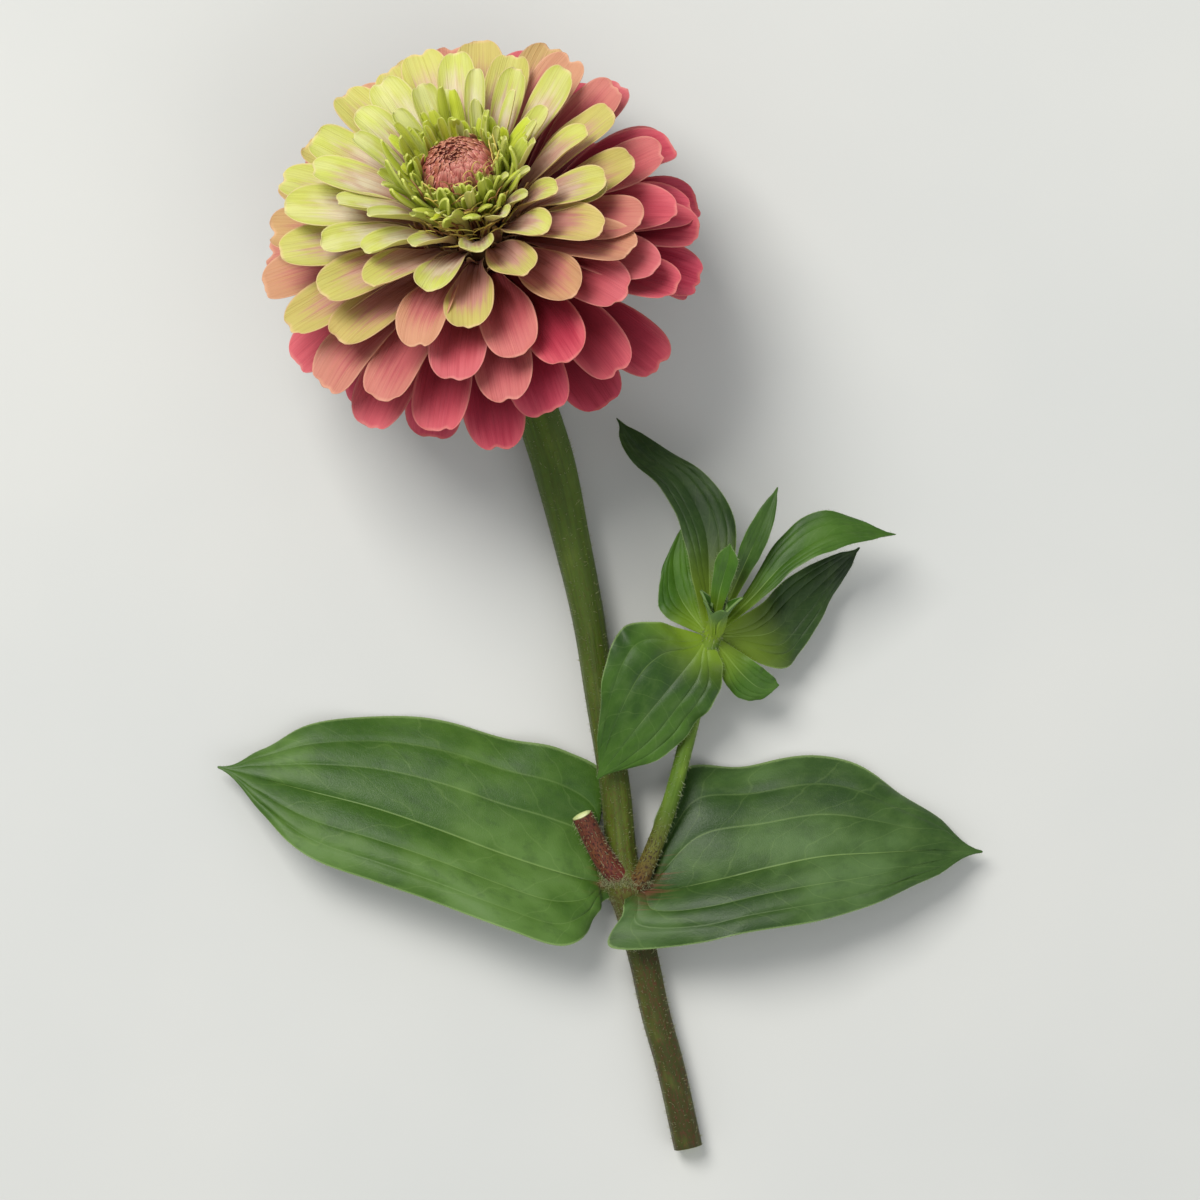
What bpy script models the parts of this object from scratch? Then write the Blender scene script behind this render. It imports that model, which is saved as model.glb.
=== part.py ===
"""A double zinnia, cut with its leafy stem and laid on its back on a flat surface.

X runs to the right, Y along the stem towards the flower head, and Z up from the surface that it lies on.
The stem comes up to the head from the cut end, bends at the neck and holds the head facing up and away.
Lengths are in millimetres in the named values below, and the meshes are made in metres.
"""

import math

import bmesh
import bpy
import numpy as np
from mathutils import Vector

MM = 0.001

# The head's own frame: its centre over the surface, and its axis, which leans from straight up towards +Y.
HEAD_HEIGHT = 32.0
HEAD_LEAN = math.radians(38)
HEAD_TURN = math.radians(18)
# Where the middle of the whole footprint falls, seen from under the head's centre. The origin goes there.
FOOTPRINT_CENTRE = (21.06, -64.0)

# Ray petals, oldest and lowest whorl first. Each list holds one value for each whorl.
PETALS_IN_WHORL = 13
GOLDEN_ANGLE = math.radians(137.508)
FIRST_AZIMUTH = math.radians(8)
LOWEST_ROOT = -10.0
WHORL_STEP = 2.35
RISE_AT_ROOT = (8, 16, 23, 30, 35, 42, 50, 60, 72, 80, 84)
RISE_AT_TIP = (-61, -36, -18, -5, 7, 16, 27, 40, 55, 68, 76)
PETAL_LENGTH = (26.6, 29.5, 30.6, 30.3, 28.4, 25.5, 21.9, 17.4, 13.9, 10.0, 5.6)
PETAL_WIDTH = (11.0, 11.0, 10.8, 10.6, 10.2, 9.4, 8.0, 6.0, 4.2, 3.2, 2.4)
CURL_AT_ROOT = (1.0, 1.0, 1.0, 1.0, 1.0, 1.1, 1.2, 1.4, 1.5, 1.5, 1.4)
CURL_AT_TIP = (0.35, 0.4, 0.45, 0.5, 0.55, 0.6, 0.7, 1.0, 1.3, 1.4, 1.3)
WHORLS = len(PETAL_LENGTH)
CLAW_SHARE = 0.27
NARROWEST_CLAW = 1.8
WIDEST_AT = 0.72
TIP_SHARE = 0.66
TIP_ROUNDING = 0.1
ROOT_SUNK = 1.3
PETAL_THICKNESS = 0.62
PRESSED_LAYER = 0.9
PRESSED_SPREAD = 0.9
# How finely the petals are cut along and across, from this whorl on.
PETAL_ROWS = {0: (0.0, 0.32, 0.65, 0.88, 1.0), 4: (0.0, 0.42, 0.8, 1.0), 7: (0.0, 0.65, 1.0)}
PETAL_COLUMNS = {0: (-1.0, 0.0, 1.0), 9: (-0.9, 0.9)}
JITTER = {"azimuth": 2.5, "rise": 2.5, "length": 0.05, "roll": 7.0, "sway": 0.04}

# The solid middle that the petals stand on, one length of it for each group of petals.
COLUMN_RADIUS = 8.0
COLUMN_NARROWING = 1.4
COLUMN_SIDES = 22
GAP = 0.3
# A loose scrap is smaller than this, in cubic millimetres.
SMALLEST_PIECE = 1.0
# Each group: its first whorl, the one after its last, the seed of its irregularities, and its colour.
PETAL_GROUPS = {
    "ray_petals_crimson": (0, 4, 1, (0.62, 0.07, 0.13)),
    "ray_petals_blush": (4, 7, 1, (0.66, 0.26, 0.22)),
    "ray_petals_lime": (7, 11, 1, (0.55, 0.62, 0.14)),
}

# The disc in the middle: a low dome of packed scale tips in spirals.
DISC_PROFILE = ((5.2, 14.9), (5.3, 15.9), (4.7, 17.0), (3.6, 17.8), (2.3, 18.3), (1.0, 18.4))
DISC_SPOKES = 16
DISC_RELIEF = 0.35

# The involucre: a green cup of overlapping bracts under the petals.
CUP_PROFILE = ((3.4, -23.4), (4.6, -22.7), (6.9, -20.2), (8.1, -16.8), (8.3, -13.6), (7.7, -11.5))
CUP_SIDES = 17
BRACTS = 21
BRACT_STARTS = (-21.7, -16.3)
BRACT_LENGTH = 5.4
BRACT_WIDTH = 6.6
BRACT_FLARE = 0.75
BRACT_LIFT = 0.12
BRACT_DROOP = 0.35
BRACT_SHAPE = ((0.0, 0.75), (0.55, 1.0), (1.0, 0.5))
# How thick a bract is, and a leaf.
BLADE_THICKNESS = 0.7

# The stem's middle from under the neck to the cut end: (x, y, height, radius).
NECK = ((-23.7, 3.4), (-27.5, 3.45))
STEM = (
    (7.0, -21.4, 7.6, 3.6),
    (9.1, -28.0, 6.5, 3.75),
    (12.9, -39.9, 5.7, 3.8),
    (16.2, -53.8, 5.1, 3.25),
    (19.1, -67.3, 4.8, 2.85),
    (21.4, -82.1, 4.5, 2.7),
    (23.8, -97.1, 4.2, 2.65),
    (24.8, -108.0, 3.95, 2.75),
    (25.7, -114.0, 3.8, 3.3),
    (26.9, -119.5, 3.6, 2.8),
    (28.9, -127.5, 3.3, 2.6),
    (30.9, -136.7, 3.0, 2.55),
    (33.6, -146.5, 2.75, 2.5),
    (36.6, -160.0, 2.5, 2.5),
)
STEM_SIDES = 10
STUB = ((24.6, -112.6, 5.2, 1.9), (21.6, -109.0, 7.2, 1.9), (17.9, -101.6, 9.2, 1.85))
SHOOT = (
    (28.6, -111.6, 7.0, 1.5),
    (32.6, -101.4, 8.3, 1.4),
    (35.5, -91.3, 8.3, 1.35),
    (38.2, -80.0, 8.5, 1.45),
    (40.1, -71.8, 10.4, 1.75),
    (41.1, -68.3, 13.6, 1.3),
)
TWIG_SIDES = 8

# Each leaf as stations from its root to its tip: one margin, the midrib and the other margin.
LEAF_LEFT = (
    ((21.4, -110.8, 4.8), (21.4, -113.6, 4.8), (21.4, -116.8, 5.2)),
    ((20.9, -103.5, 2.4), (20.0, -113.3, 5.4), (21.0, -118.4, 7.2)),
    ((21.8, -95.0, 0.8), (17.2, -112.6, 6.4), (19.2, -121.8, 9.6)),
    ((14.8, -90.6, 1.2), (10.6, -110.6, 7.4), (14.2, -124.2, 12.8)),
    ((6.5, -88.7, 1.4), (2.5, -107.8, 8.2), (4.5, -121.2, 14.2)),
    ((-4.3, -85.5, 1.0), (-7.5, -104.0, 8.4), (-7.0, -116.6, 14.0)),
    ((-16.2, -84.4, 0.4), (-18.5, -100.3, 7.8), (-18.0, -113.0, 12.6)),
    ((-29.6, -86.4, 1.2), (-29.8, -97.4, 6.6), (-29.6, -108.7, 10.4)),
    ((-38.7, -90.2, 2.0), (-38.8, -95.2, 4.9), (-38.4, -100.8, 7.2)),
    ((-45.6, -92.5, 3.4), (-46.0, -93.3, 3.4), (-45.6, -94.1, 3.5)),
)
LEAF_RIGHT = (
    ((29.7, -110.6, 4.0), (29.7, -114.6, 5.8), (25.0, -118.6, 9.4)),
    ((31.6, -101.5, 3.2), (34.5, -114.4, 7.4), (23.0, -124.6, 10.4)),
    ((36.1, -93.6, 2.0), (42.6, -112.7, 8.6), (38.0, -123.6, 13.2)),
    ((47.1, -92.8, 1.2), (51.0, -110.6, 9.0), (48.0, -121.6, 14.0)),
    ((59.8, -91.5, 0.4), (60.0, -108.8, 8.8), (58.0, -120.0, 13.4)),
    ((69.6, -95.1, 1.2), (69.3, -108.2, 7.8), (67.9, -117.3, 11.4)),
    ((78.8, -100.9, 2.4), (78.9, -107.8, 6.2), (77.5, -113.0, 8.6)),
    ((87.7, -107.3, 4.0), (88.1, -108.1, 4.0), (87.7, -108.9, 4.1)),
)
SHOOT_LEAVES = {
    "drooping": (
        ((38.6, -70.0, 11.6), (39.6, -71.0, 11.2), (40.9, -71.8, 11.2)),
        ((30.5, -67.8, 14.5), (36.2, -75.5, 12.6), (42.6, -77.0, 11.8)),
        ((24.3, -69.5, 14.2), (31.5, -81.3, 13.2), (39.6, -83.2, 11.6)),
        ((21.4, -79.5, 12.6), (26.3, -87.8, 12.4), (33.6, -90.0, 11.0)),
        ((20.1, -94.4, 9.8), (20.6, -95.2, 9.6), (21.4, -95.3, 9.6)),
    ),
    "short_low": (
        ((40.6, -72.3, 10.6), (41.4, -71.6, 10.6), (42.0, -70.8, 10.6)),
        ((43.5, -79.5, 9.0), (46.2, -77.2, 10.0), (47.8, -74.6, 10.5)),
        ((48.2, -81.6, 8.2), (49.3, -79.4, 9.0), (50.4, -76.6, 9.6)),
        ((52.0, -79.4, 8.6), (52.3, -78.9, 8.5), (52.2, -78.2, 8.6)),
    ),
    "dark_low": (
        ((41.4, -71.4, 9.9), (41.4, -70.2, 9.9), (41.0, -69.2, 10.1)),
        ((52.8, -76.0, 7.5), (50.5, -69.8, 8.3), (48.9, -64.9, 8.7)),
        ((57.8, -70.3, 6.5), (55.6, -65.1, 7.3), (53.2, -60.6, 8.0)),
        ((62.4, -62.4, 6.0), (60.8, -60.2, 6.5), (58.8, -57.4, 7.0)),
        ((66.7, -55.4, 6.0), (66.5, -54.8, 6.0), (65.9, -54.6, 6.0)),
    ),
    "long_right": (
        ((40.7, -68.6, 12.2), (41.3, -69.2, 12.0), (42.0, -69.6, 11.9)),
        ((46.6, -62.4, 14.0), (47.3, -63.9, 14.8), (48.0, -64.7, 15.8)),
        ((52.6, -52.8, 15.0), (54.2, -56.8, 16.0), (55.0, -58.6, 17.6)),
        ((60.1, -48.6, 14.2), (62.2, -52.6, 15.2), (62.9, -54.8, 16.4)),
        ((71.9, -52.1, 12.3), (72.5, -52.6, 12.0), (71.9, -53.0, 12.3)),
    ),
    "long_left": (
        ((39.2, -69.2, 12.3), (40.0, -68.6, 12.5), (40.8, -68.2, 12.4)),
        ((37.1, -61.0, 15.0), (40.0, -60.5, 13.5), (43.8, -60.8, 14.0)),
        ((35.5, -52.5, 14.5), (39.2, -51.5, 12.5), (44.5, -50.3, 13.0)),
        ((31.5, -44.6, 12.0), (35.3, -43.6, 11.0), (40.0, -42.7, 11.5)),
        ((25.6, -38.4, 9.5), (28.8, -38.3, 9.0), (32.2, -37.4, 9.5)),
        ((23.6, -32.6, 7.5), (24.0, -32.2, 7.4), (24.5, -32.4, 7.5)),
    ),
    "upright": (
        ((41.3, -67.5, 13.2), (41.7, -67.7, 13.4), (42.3, -67.9, 13.3)),
        ((44.2, -58.5, 17.0), (45.6, -59.0, 16.2), (46.9, -59.7, 17.0)),
        ((46.6, -51.6, 18.8), (48.6, -52.2, 18.0), (50.4, -53.0, 18.8)),
        ((51.3, -44.7, 18.5), (51.8, -44.5, 18.4), (52.1, -45.0, 18.5)),
    ),
    "small_middle": (
        ((40.4, -68.2, 13.6), (40.9, -68.6, 13.8), (41.4, -68.9, 13.7)),
        ((40.3, -62.0, 18.4), (41.8, -62.6, 17.6), (43.0, -63.2, 18.4)),
        ((41.2, -56.6, 21.4), (43.2, -57.2, 20.6), (44.8, -58.0, 21.4)),
        ((43.0, -54.6, 21.8), (43.5, -54.3, 21.7), (43.9, -54.8, 21.8)),
    ),
    "left_behind": (
        ((39.0, -70.1, 11.2), (39.5, -69.6, 11.0), (40.0, -69.1, 11.1)),
        ((32.0, -66.4, 11.5), (35.0, -63.5, 10.2), (37.8, -62.0, 10.8)),
        ((31.6, -59.8, 11.0), (33.8, -57.2, 9.9), (36.8, -56.4, 10.4)),
        ((34.7, -51.9, 9.4), (35.2, -51.6, 9.3), (35.7, -51.8, 9.4)),
    ),
}
# How high a leaf's halves swell, and the width below which they swell less.
LEAF_PILLOW = 0.8
PILLOW_WIDTH = 20.0

GREENS = {
    "involucre": (0.10, 0.20, 0.05),
    "stem": (0.16, 0.25, 0.06),
    "side_shoot": (0.08, 0.20, 0.04),
    "leaf_left": (0.10, 0.23, 0.06),
    "leaf_right": (0.10, 0.23, 0.07),
}
DISC_COLOUR = (0.40, 0.15, 0.11)


def basis_of_head():
    """The head's axes: downhill towards the surface, across, and out along its own axis."""
    flat = Vector((-math.sin(HEAD_TURN), math.cos(HEAD_TURN), 0))
    up = Vector((0, 0, 1))
    axis = flat * math.sin(HEAD_LEAN) + up * math.cos(HEAD_LEAN)
    downhill = flat * math.cos(HEAD_LEAN) - up * math.sin(HEAD_LEAN)
    return np.array([downhill, axis.cross(downhill), axis])


HEAD_BASIS = basis_of_head()
HEAD_CENTRE = np.array([0.0, 0.0, HEAD_HEIGHT])


def from_head(points):
    """Points of the head's frame, as points of the drawing."""
    return np.asarray(points) @ HEAD_BASIS + HEAD_CENTRE


def smooth(x):
    """Runs from 0 to 1 with a level start and end."""
    x = np.clip(x, 0, 1)
    return x * x * (3 - 2 * x)


def at_whorl(values, whorl):
    """A value for a place between two whorls."""
    return float(np.interp(whorl, range(WHORLS), values))


def by_whorl(choices, whorl):
    """The choice that holds from the nearest earlier whorl on."""
    return choices[max(first for first in choices if first <= whorl)]


def column_radius(whorl):
    """How far from the axis a whorl's petals leave the column."""
    return COLUMN_RADIUS - COLUMN_NARROWING * max(whorl / (WHORLS - 1), 0) ** 2


def root_height(whorl):
    return LOWEST_ROOT + WHORL_STEP * whorl


def petal_half_width(u, width):
    """Half the petal's width from root to tip: a narrow claw, widest past the middle, and a blunt tip."""
    claw = max(CLAW_SHARE, NARROWEST_CLAW / width)
    opening = claw + (1 - claw) * smooth(u / WIDEST_AT)
    closing = 1 - (1 - TIP_SHARE) * np.clip((u - WIDEST_AT) / (1 - WIDEST_AT), 0, 1) ** 2
    return width / 2 * opening * closing


def petal_surface(u, v, age, whorl, draw):
    """The petal's middle surface in the head's frame. u runs from root to tip, and v from edge to edge.

    It leaves the column at one angle and reaches its tip at another, along an arc. Across, it is a gutter
    that is deepest at the root.
    """
    rise = math.radians(at_whorl(RISE_AT_ROOT, age) + draw["rise"])
    bend = math.radians(at_whorl(RISE_AT_TIP, age) + 1.5 * draw["rise"]) - rise
    length = at_whorl(PETAL_LENGTH, age) * (1 + draw["length"]) + ROOT_SUNK
    along = u * (1 - TIP_ROUNDING * u**3 * v**2)
    slope = rise + bend * along
    out = column_radius(whorl) - ROOT_SUNK * math.cos(rise) + length * (np.sin(slope) - math.sin(rise)) / bend
    up = root_height(whorl) - ROOT_SUNK * math.sin(rise) + length * (math.cos(rise) - np.cos(slope)) / bend
    half = petal_half_width(u, at_whorl(PETAL_WIDTH, age))
    curl = at_whorl(CURL_AT_TIP, age)
    curl = curl + (at_whorl(CURL_AT_ROOT, age) - curl) * (1 - u) ** 2
    across = half * np.sin(curl * v) / curl
    lift = half * (1 - np.cos(curl * v)) / curl
    roll = math.radians(draw["roll"]) * u
    across, lift = across * np.cos(roll) - lift * np.sin(roll), across * np.sin(roll) + lift * np.cos(roll)
    out, up = out - lift * np.sin(slope), up + lift * np.cos(slope)
    side = across + draw["sway"] * length * u**2
    azimuth = draw["azimuth"]
    return np.stack(
        (
            out * math.cos(azimuth) - side * math.sin(azimuth),
            out * math.sin(azimuth) + side * math.cos(azimuth),
            up + 0 * side,
        ),
        axis=-1,
    )


def petal_draws(first, last, seed):
    """The whorl, age and small irregularities of every petal of some whorls, in the order they grew."""
    random = np.random.default_rng(seed)
    for number in range(first * PETALS_IN_WHORL, last * PETALS_IN_WHORL):
        whorl = number // PETALS_IN_WHORL
        age = min(number / PETALS_IN_WHORL, WHORLS - 1)
        draw = {name: size * random.uniform(-1, 1) for name, size in JITTER.items()}
        draw["azimuth"] = FIRST_AZIMUTH + GOLDEN_ANGLE * number + math.radians(draw["azimuth"])
        yield whorl, age, draw


def pressed(points, age):
    """Petals that reach the surface bend out along it, each on the ones that grew before it."""
    lowest = PETAL_THICKNESS / 2 + age * PRESSED_LAYER
    depth = np.maximum(lowest - points[..., 2:], 0)
    away = points * (1, 1, 0)
    away = away / np.linalg.norm(away, axis=-1, keepdims=True)
    return points + depth * (away * PRESSED_SPREAD + (0, 0, 1))


def surface_normals(grid):
    """Unit normals of a grid of points, by the differences between neighbours."""
    along = np.gradient(grid, axis=0)
    across = np.gradient(grid, axis=1)
    normal = np.cross(along, across)
    return normal / np.linalg.norm(normal, axis=-1, keepdims=True)


def blade(grid, thickness):
    """A closed solid of one thickness round a grid of points: (points, triangles). Both faces split alike."""
    rows, columns = grid.shape[:2]
    offset = surface_normals(grid) * thickness / 2
    points = np.concatenate([(grid + offset).reshape(-1, 3), (grid - offset).reshape(-1, 3)])
    under = rows * columns
    triangles = []
    for i in range(rows - 1):
        for j in range(columns - 1):
            a, b = i * columns + j, i * columns + j + 1
            c, d = a + columns, b + columns
            mirrored = j >= (columns - 1) / 2
            split = [(a, c, b), (b, c, d)] if mirrored else [(a, c, d), (a, d, b)]
            triangles += split
            triangles += [(p + under, r + under, q + under) for p, q, r in split]
    rim = [*range(columns)]
    rim += [i * columns + columns - 1 for i in range(1, rows)]
    rim += [(rows - 1) * columns + j for j in range(columns - 2, -1, -1)]
    rim += [i * columns for i in range(rows - 2, 0, -1)]
    for p, q in zip(rim, rim[1:] + rim[:1]):
        triangles += [(p, q, q + under), (p, q + under, p + under)]
    return points, triangles


def place(points):
    """Points of the drawing, in metres, with the origin under the middle of the footprint."""
    return (np.asarray(points) - np.array([*FOOTPRINT_CENTRE, 0.0])) * MM


def mesh_object(name, points, faces, material=None):
    """An object of one mesh, with its faces pointing out."""
    mesh = bpy.data.meshes.new(name)
    mesh.from_pydata([tuple(p) for p in place(points)], [], [tuple(f) for f in faces])
    shell = bmesh.new()
    shell.from_mesh(mesh)
    bmesh.ops.recalc_face_normals(shell, faces=shell.faces)
    if shell.calc_volume(signed=True) < 0:
        bmesh.ops.reverse_faces(shell, faces=shell.faces)
    shell.to_mesh(mesh)
    shell.free()
    if material:
        mesh.materials.append(material)
    made = bpy.data.objects.new(name, mesh)
    bpy.context.scene.collection.objects.link(made)
    return made


def material_of(name, colour, roughness=0.6):
    material = bpy.data.materials.new(name)
    material.use_nodes = True
    shader = material.node_tree.nodes["Principled BSDF"]
    shader.inputs["Base Color"].default_value = (*colour, 1)
    shader.inputs["Roughness"].default_value = roughness
    return material


def skin(rows, sides):
    """The faces of a closed tube of points, ring after ring."""
    faces = [tuple(range(sides)), tuple(range((rows - 1) * sides, rows * sides))]
    for i in range(rows - 1):
        for j in range(sides):
            a, b = i * sides + j, i * sides + (j + 1) % sides
            faces.append((a, b, b + sides, a + sides))
    return faces


def turned_solid(name, profile, sides, material):
    """A solid of revolution round the head's axis. Its profile is (radius, height) from one end to the other."""
    turns = np.arange(sides) * 2 * math.pi / sides
    points = [(r * math.cos(a), r * math.sin(a), z) for r, z in profile for a in turns]
    return mesh_object(name, from_head(points), skin(len(profile), sides), material)


def fused(body, others, solver="EXACT"):
    """Joins the other objects to body with one Boolean, applies it and removes them."""
    parts = bpy.data.collections.new(body.name + "_parts")
    bpy.context.scene.collection.children.link(parts)
    for other in others:
        bpy.context.scene.collection.objects.unlink(other)
        parts.objects.link(other)
    union = body.modifiers.new("union", "BOOLEAN")
    union.operation = "UNION"
    union.operand_type = "COLLECTION"
    union.collection = parts
    union.solver = solver
    bpy.context.view_layer.update()
    graph = bpy.context.evaluated_depsgraph_get()
    joined = bpy.data.meshes.new_from_object(body.evaluated_get(graph))
    body.modifiers.remove(union)
    body.data = joined
    for other in list(parts.objects):
        bpy.data.objects.remove(other)
    bpy.data.collections.remove(parts)
    return body


def islands_of(shell):
    """The separate closed surfaces of a mesh, each as a list of its faces."""
    waiting = set(shell.faces)
    while waiting:
        island = [waiting.pop()]
        for face in island:
            for edge in face.edges:
                fresh = [f for f in edge.link_faces if f in waiting]
                waiting.difference_update(fresh)
                island += fresh
        yield island


def fill_pockets(made):
    """Fills the closed pockets between blades that grow together, and drops any loose scrap."""
    shell = bmesh.new()
    shell.from_mesh(made.data)
    for island in list(islands_of(shell)):
        volume = sum(f.calc_center_median().dot(f.normal) * f.calc_area() for f in island) / 3
        if volume < SMALLEST_PIECE * MM**3:
            bmesh.ops.delete(shell, geom=island, context="FACES")
    shell.to_mesh(made.data)
    shell.free()


def petal_solid(name, whorl, age, draw):
    u = np.array(by_whorl(PETAL_ROWS, whorl))[:, None]
    v = np.array(by_whorl(PETAL_COLUMNS, whorl))[None, :]
    grid = pressed(from_head(petal_surface(u, v, age, whorl, draw)), age)
    return mesh_object(name, *blade(grid, PETAL_THICKNESS))


def column(name, first, last, material):
    """The length of the head's solid middle that one group's petals grow from."""
    heights = [root_height(first) - WHORL_STEP / 2 + GAP / 2]
    heights += [root_height(w) for w in range(first, last)]
    heights.append(root_height(last - 1) + WHORL_STEP / 2 - GAP / 2)
    profile = [(column_radius((z - LOWEST_ROOT) / WHORL_STEP), z) for z in heights]
    return turned_solid(name, profile, COLUMN_SIDES, material)


def petal_group(name, first, last, seed, colour):
    """Some whorls of petals, fused to the middle that they grow from."""
    made = column(name, first, last, material_of(name, colour))
    fused(made, [petal_solid("petal", *draw) for draw in petal_draws(first, last, seed)])
    fill_pockets(made)
    return made


def disc():
    """A dome whose surface steps in and out from one scale tip to the next."""
    made = turned_solid("disc", DISC_PROFILE, DISC_SPOKES, material_of("disc", DISC_COLOUR))
    axis = Vector(HEAD_BASIS[2])
    for vertex in made.data.vertices:
        row, spoke = divmod(vertex.index, DISC_SPOKES)
        if 0 < row < len(DISC_PROFILE) - 1 and (row + spoke) % 2:
            vertex.co += axis * DISC_RELIEF * MM
    return made


def bract(number):
    """One scale of the cup, lying on it and flaring a little at the tip."""
    turn = GOLDEN_ANGLE * number
    radii, heights = zip(*CUP_PROFILE)
    grid = []
    for u, share in BRACT_SHAPE:
        height = np.interp(number, (0, BRACTS - 1), BRACT_STARTS) + u * BRACT_LENGTH
        radius = np.interp(height, heights, radii) + BRACT_LIFT + BRACT_FLARE * u * u
        spread = BRACT_WIDTH / 2 * share / radius
        turns = [turn - spread, turn, turn + spread]
        lower = [BRACT_DROOP * u * abs(side) for side in (-1, 0, 1)]
        grid.append([(radius * math.cos(a), radius * math.sin(a), height - d) for a, d in zip(turns, lower)])
    return mesh_object("bract", *blade(from_head(grid), BLADE_THICKNESS))


def involucre():
    cup = turned_solid("involucre", CUP_PROFILE, CUP_SIDES, material_of("involucre", GREENS["involucre"]))
    fused(cup, [bract(number) for number in range(BRACTS)])
    fill_pockets(cup)


def in_between(points, steps):
    """More points along a smooth curve through the given ones."""
    known = np.array(points, dtype=float)
    ends = np.vstack([2 * known[0] - known[1], known, 2 * known[-1] - known[-2]])
    made = []
    for i in range(len(known) - 1):
        p0, p1, p2, p3 = ends[i : i + 4]
        for t in np.arange(steps) / steps:
            made.append(
                p1
                + 0.5 * t * (p2 - p0)
                + t * t * (p0 - 2.5 * p1 + 2 * p2 - 0.5 * p3)
                + t * t * t * (1.5 * p1 - 0.5 * p0 - 1.5 * p2 + 0.5 * p3)
            )
    return np.array([*made, known[-1]])


def tube(name, path, sides, material=None):
    """A closed stalk along a path of (x, y, z, radius)."""
    path = np.asarray(path)
    ahead = np.gradient(path[:, :3], axis=0)
    points = []
    for (x, y, z, radius), along in zip(path, ahead):
        across = np.cross(along, (0, 0, 1))
        across /= np.linalg.norm(across)
        rise = np.cross(across, along)
        rise /= np.linalg.norm(rise)
        for k in range(sides):
            turn = 2 * math.pi * (k + 0.5) / sides
            points.append((x, y, z) + radius * (math.cos(turn) * across + math.sin(turn) * rise))
    return mesh_object(name, points, skin(len(path), sides), material)


def stem():
    """The stem, with the stub of a side branch that was cut off at the node."""
    neck = [(*from_head([(0, 0, z)])[0], radius) for z, radius in NECK]
    made = tube("stem", in_between([*neck, *STEM], 2), STEM_SIDES, material_of("stem", GREENS["stem"]))
    fused(made, [tube("stub", STUB, TWIG_SIDES)])


def leaf_solid(name, stations, pillow=0.0, material=None):
    """A leaf blade whose two halves swell a little between the midrib and the margin."""
    grid = []
    for margin, rib, other in np.array(stations):
        halves = [(margin + rib) / 2, (rib + other) / 2]
        if pillow:
            width = np.linalg.norm(margin - other)
            swell = np.array([0, 0, pillow * min(width / PILLOW_WIDTH, 1)])
            grid.append([margin, halves[0] + swell, rib, halves[1] + swell, other])
        else:
            grid.append([margin, rib, other])
    return mesh_object(name, *blade(np.array(grid), BLADE_THICKNESS), material)


def side_shoot():
    """A short leafy shoot from the axil. Where its leaves crowd together, the exact solver leaves touching edges."""
    shoot = tube("side_shoot", in_between(SHOOT, 2), TWIG_SIDES, material_of("side_shoot", GREENS["side_shoot"]))
    fused(shoot, [leaf_solid(name, stations) for name, stations in SHOOT_LEAVES.items()], solver="MANIFOLD")
    fill_pockets(shoot)


def leaves():
    for name, stations in (("leaf_left", LEAF_LEFT), ("leaf_right", LEAF_RIGHT)):
        leaf_solid(name, stations, LEAF_PILLOW, material_of(name, GREENS[name]))


def clear_scene():
    for old in list(bpy.data.objects):
        bpy.data.objects.remove(old)


def main():
    clear_scene()
    for name, group in PETAL_GROUPS.items():
        petal_group(name, *group)
    disc()
    involucre()
    stem()
    leaves()
    side_shoot()


main()
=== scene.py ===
"""The looks of a double zinnia, cut with its leafy stem and laid on its back on a pale floor.

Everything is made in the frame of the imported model: X to the right, Y along the stem towards the flower
head, and Z up from the floor. Named lengths are in millimetres, and the meshes are made in metres.
"""

import functools
import math

import bpy
import numpy as np
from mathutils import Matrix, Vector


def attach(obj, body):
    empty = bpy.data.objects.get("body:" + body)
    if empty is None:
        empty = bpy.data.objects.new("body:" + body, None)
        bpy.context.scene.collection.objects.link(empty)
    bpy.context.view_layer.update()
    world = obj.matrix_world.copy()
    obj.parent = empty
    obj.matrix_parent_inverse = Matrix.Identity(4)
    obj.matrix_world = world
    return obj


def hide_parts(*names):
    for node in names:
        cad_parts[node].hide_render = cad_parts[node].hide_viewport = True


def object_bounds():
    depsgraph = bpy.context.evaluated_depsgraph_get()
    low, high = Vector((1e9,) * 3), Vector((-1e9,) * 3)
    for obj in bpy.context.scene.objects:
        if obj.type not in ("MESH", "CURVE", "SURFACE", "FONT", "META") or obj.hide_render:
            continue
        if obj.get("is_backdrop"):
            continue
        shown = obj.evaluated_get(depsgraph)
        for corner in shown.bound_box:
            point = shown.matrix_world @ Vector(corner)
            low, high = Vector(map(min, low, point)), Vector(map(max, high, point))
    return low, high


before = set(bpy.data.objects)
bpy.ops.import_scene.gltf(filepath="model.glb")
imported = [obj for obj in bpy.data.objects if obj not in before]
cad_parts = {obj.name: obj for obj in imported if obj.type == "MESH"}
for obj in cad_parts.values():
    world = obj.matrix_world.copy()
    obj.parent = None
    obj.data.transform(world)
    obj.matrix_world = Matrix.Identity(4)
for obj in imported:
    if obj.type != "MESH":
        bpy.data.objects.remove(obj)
CAD_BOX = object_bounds()

MM = 0.001
# The grain map holds real lengths: this many millimetres are 1.
GRAIN_MM = 100.0
UP = np.array([0.0, 0.0, 1.0])

# The head's own frame: its centre over the surface, and its axis, which leans from straight up towards +Y.
HEAD_HEIGHT = 32.0
HEAD_LEAN = math.radians(38)
HEAD_TURN = math.radians(18)
# Where the middle of the whole footprint falls, seen from under the head's centre. The origin goes there.
FOOTPRINT_CENTRE = (21.06, -64.0, 0.0)

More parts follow.
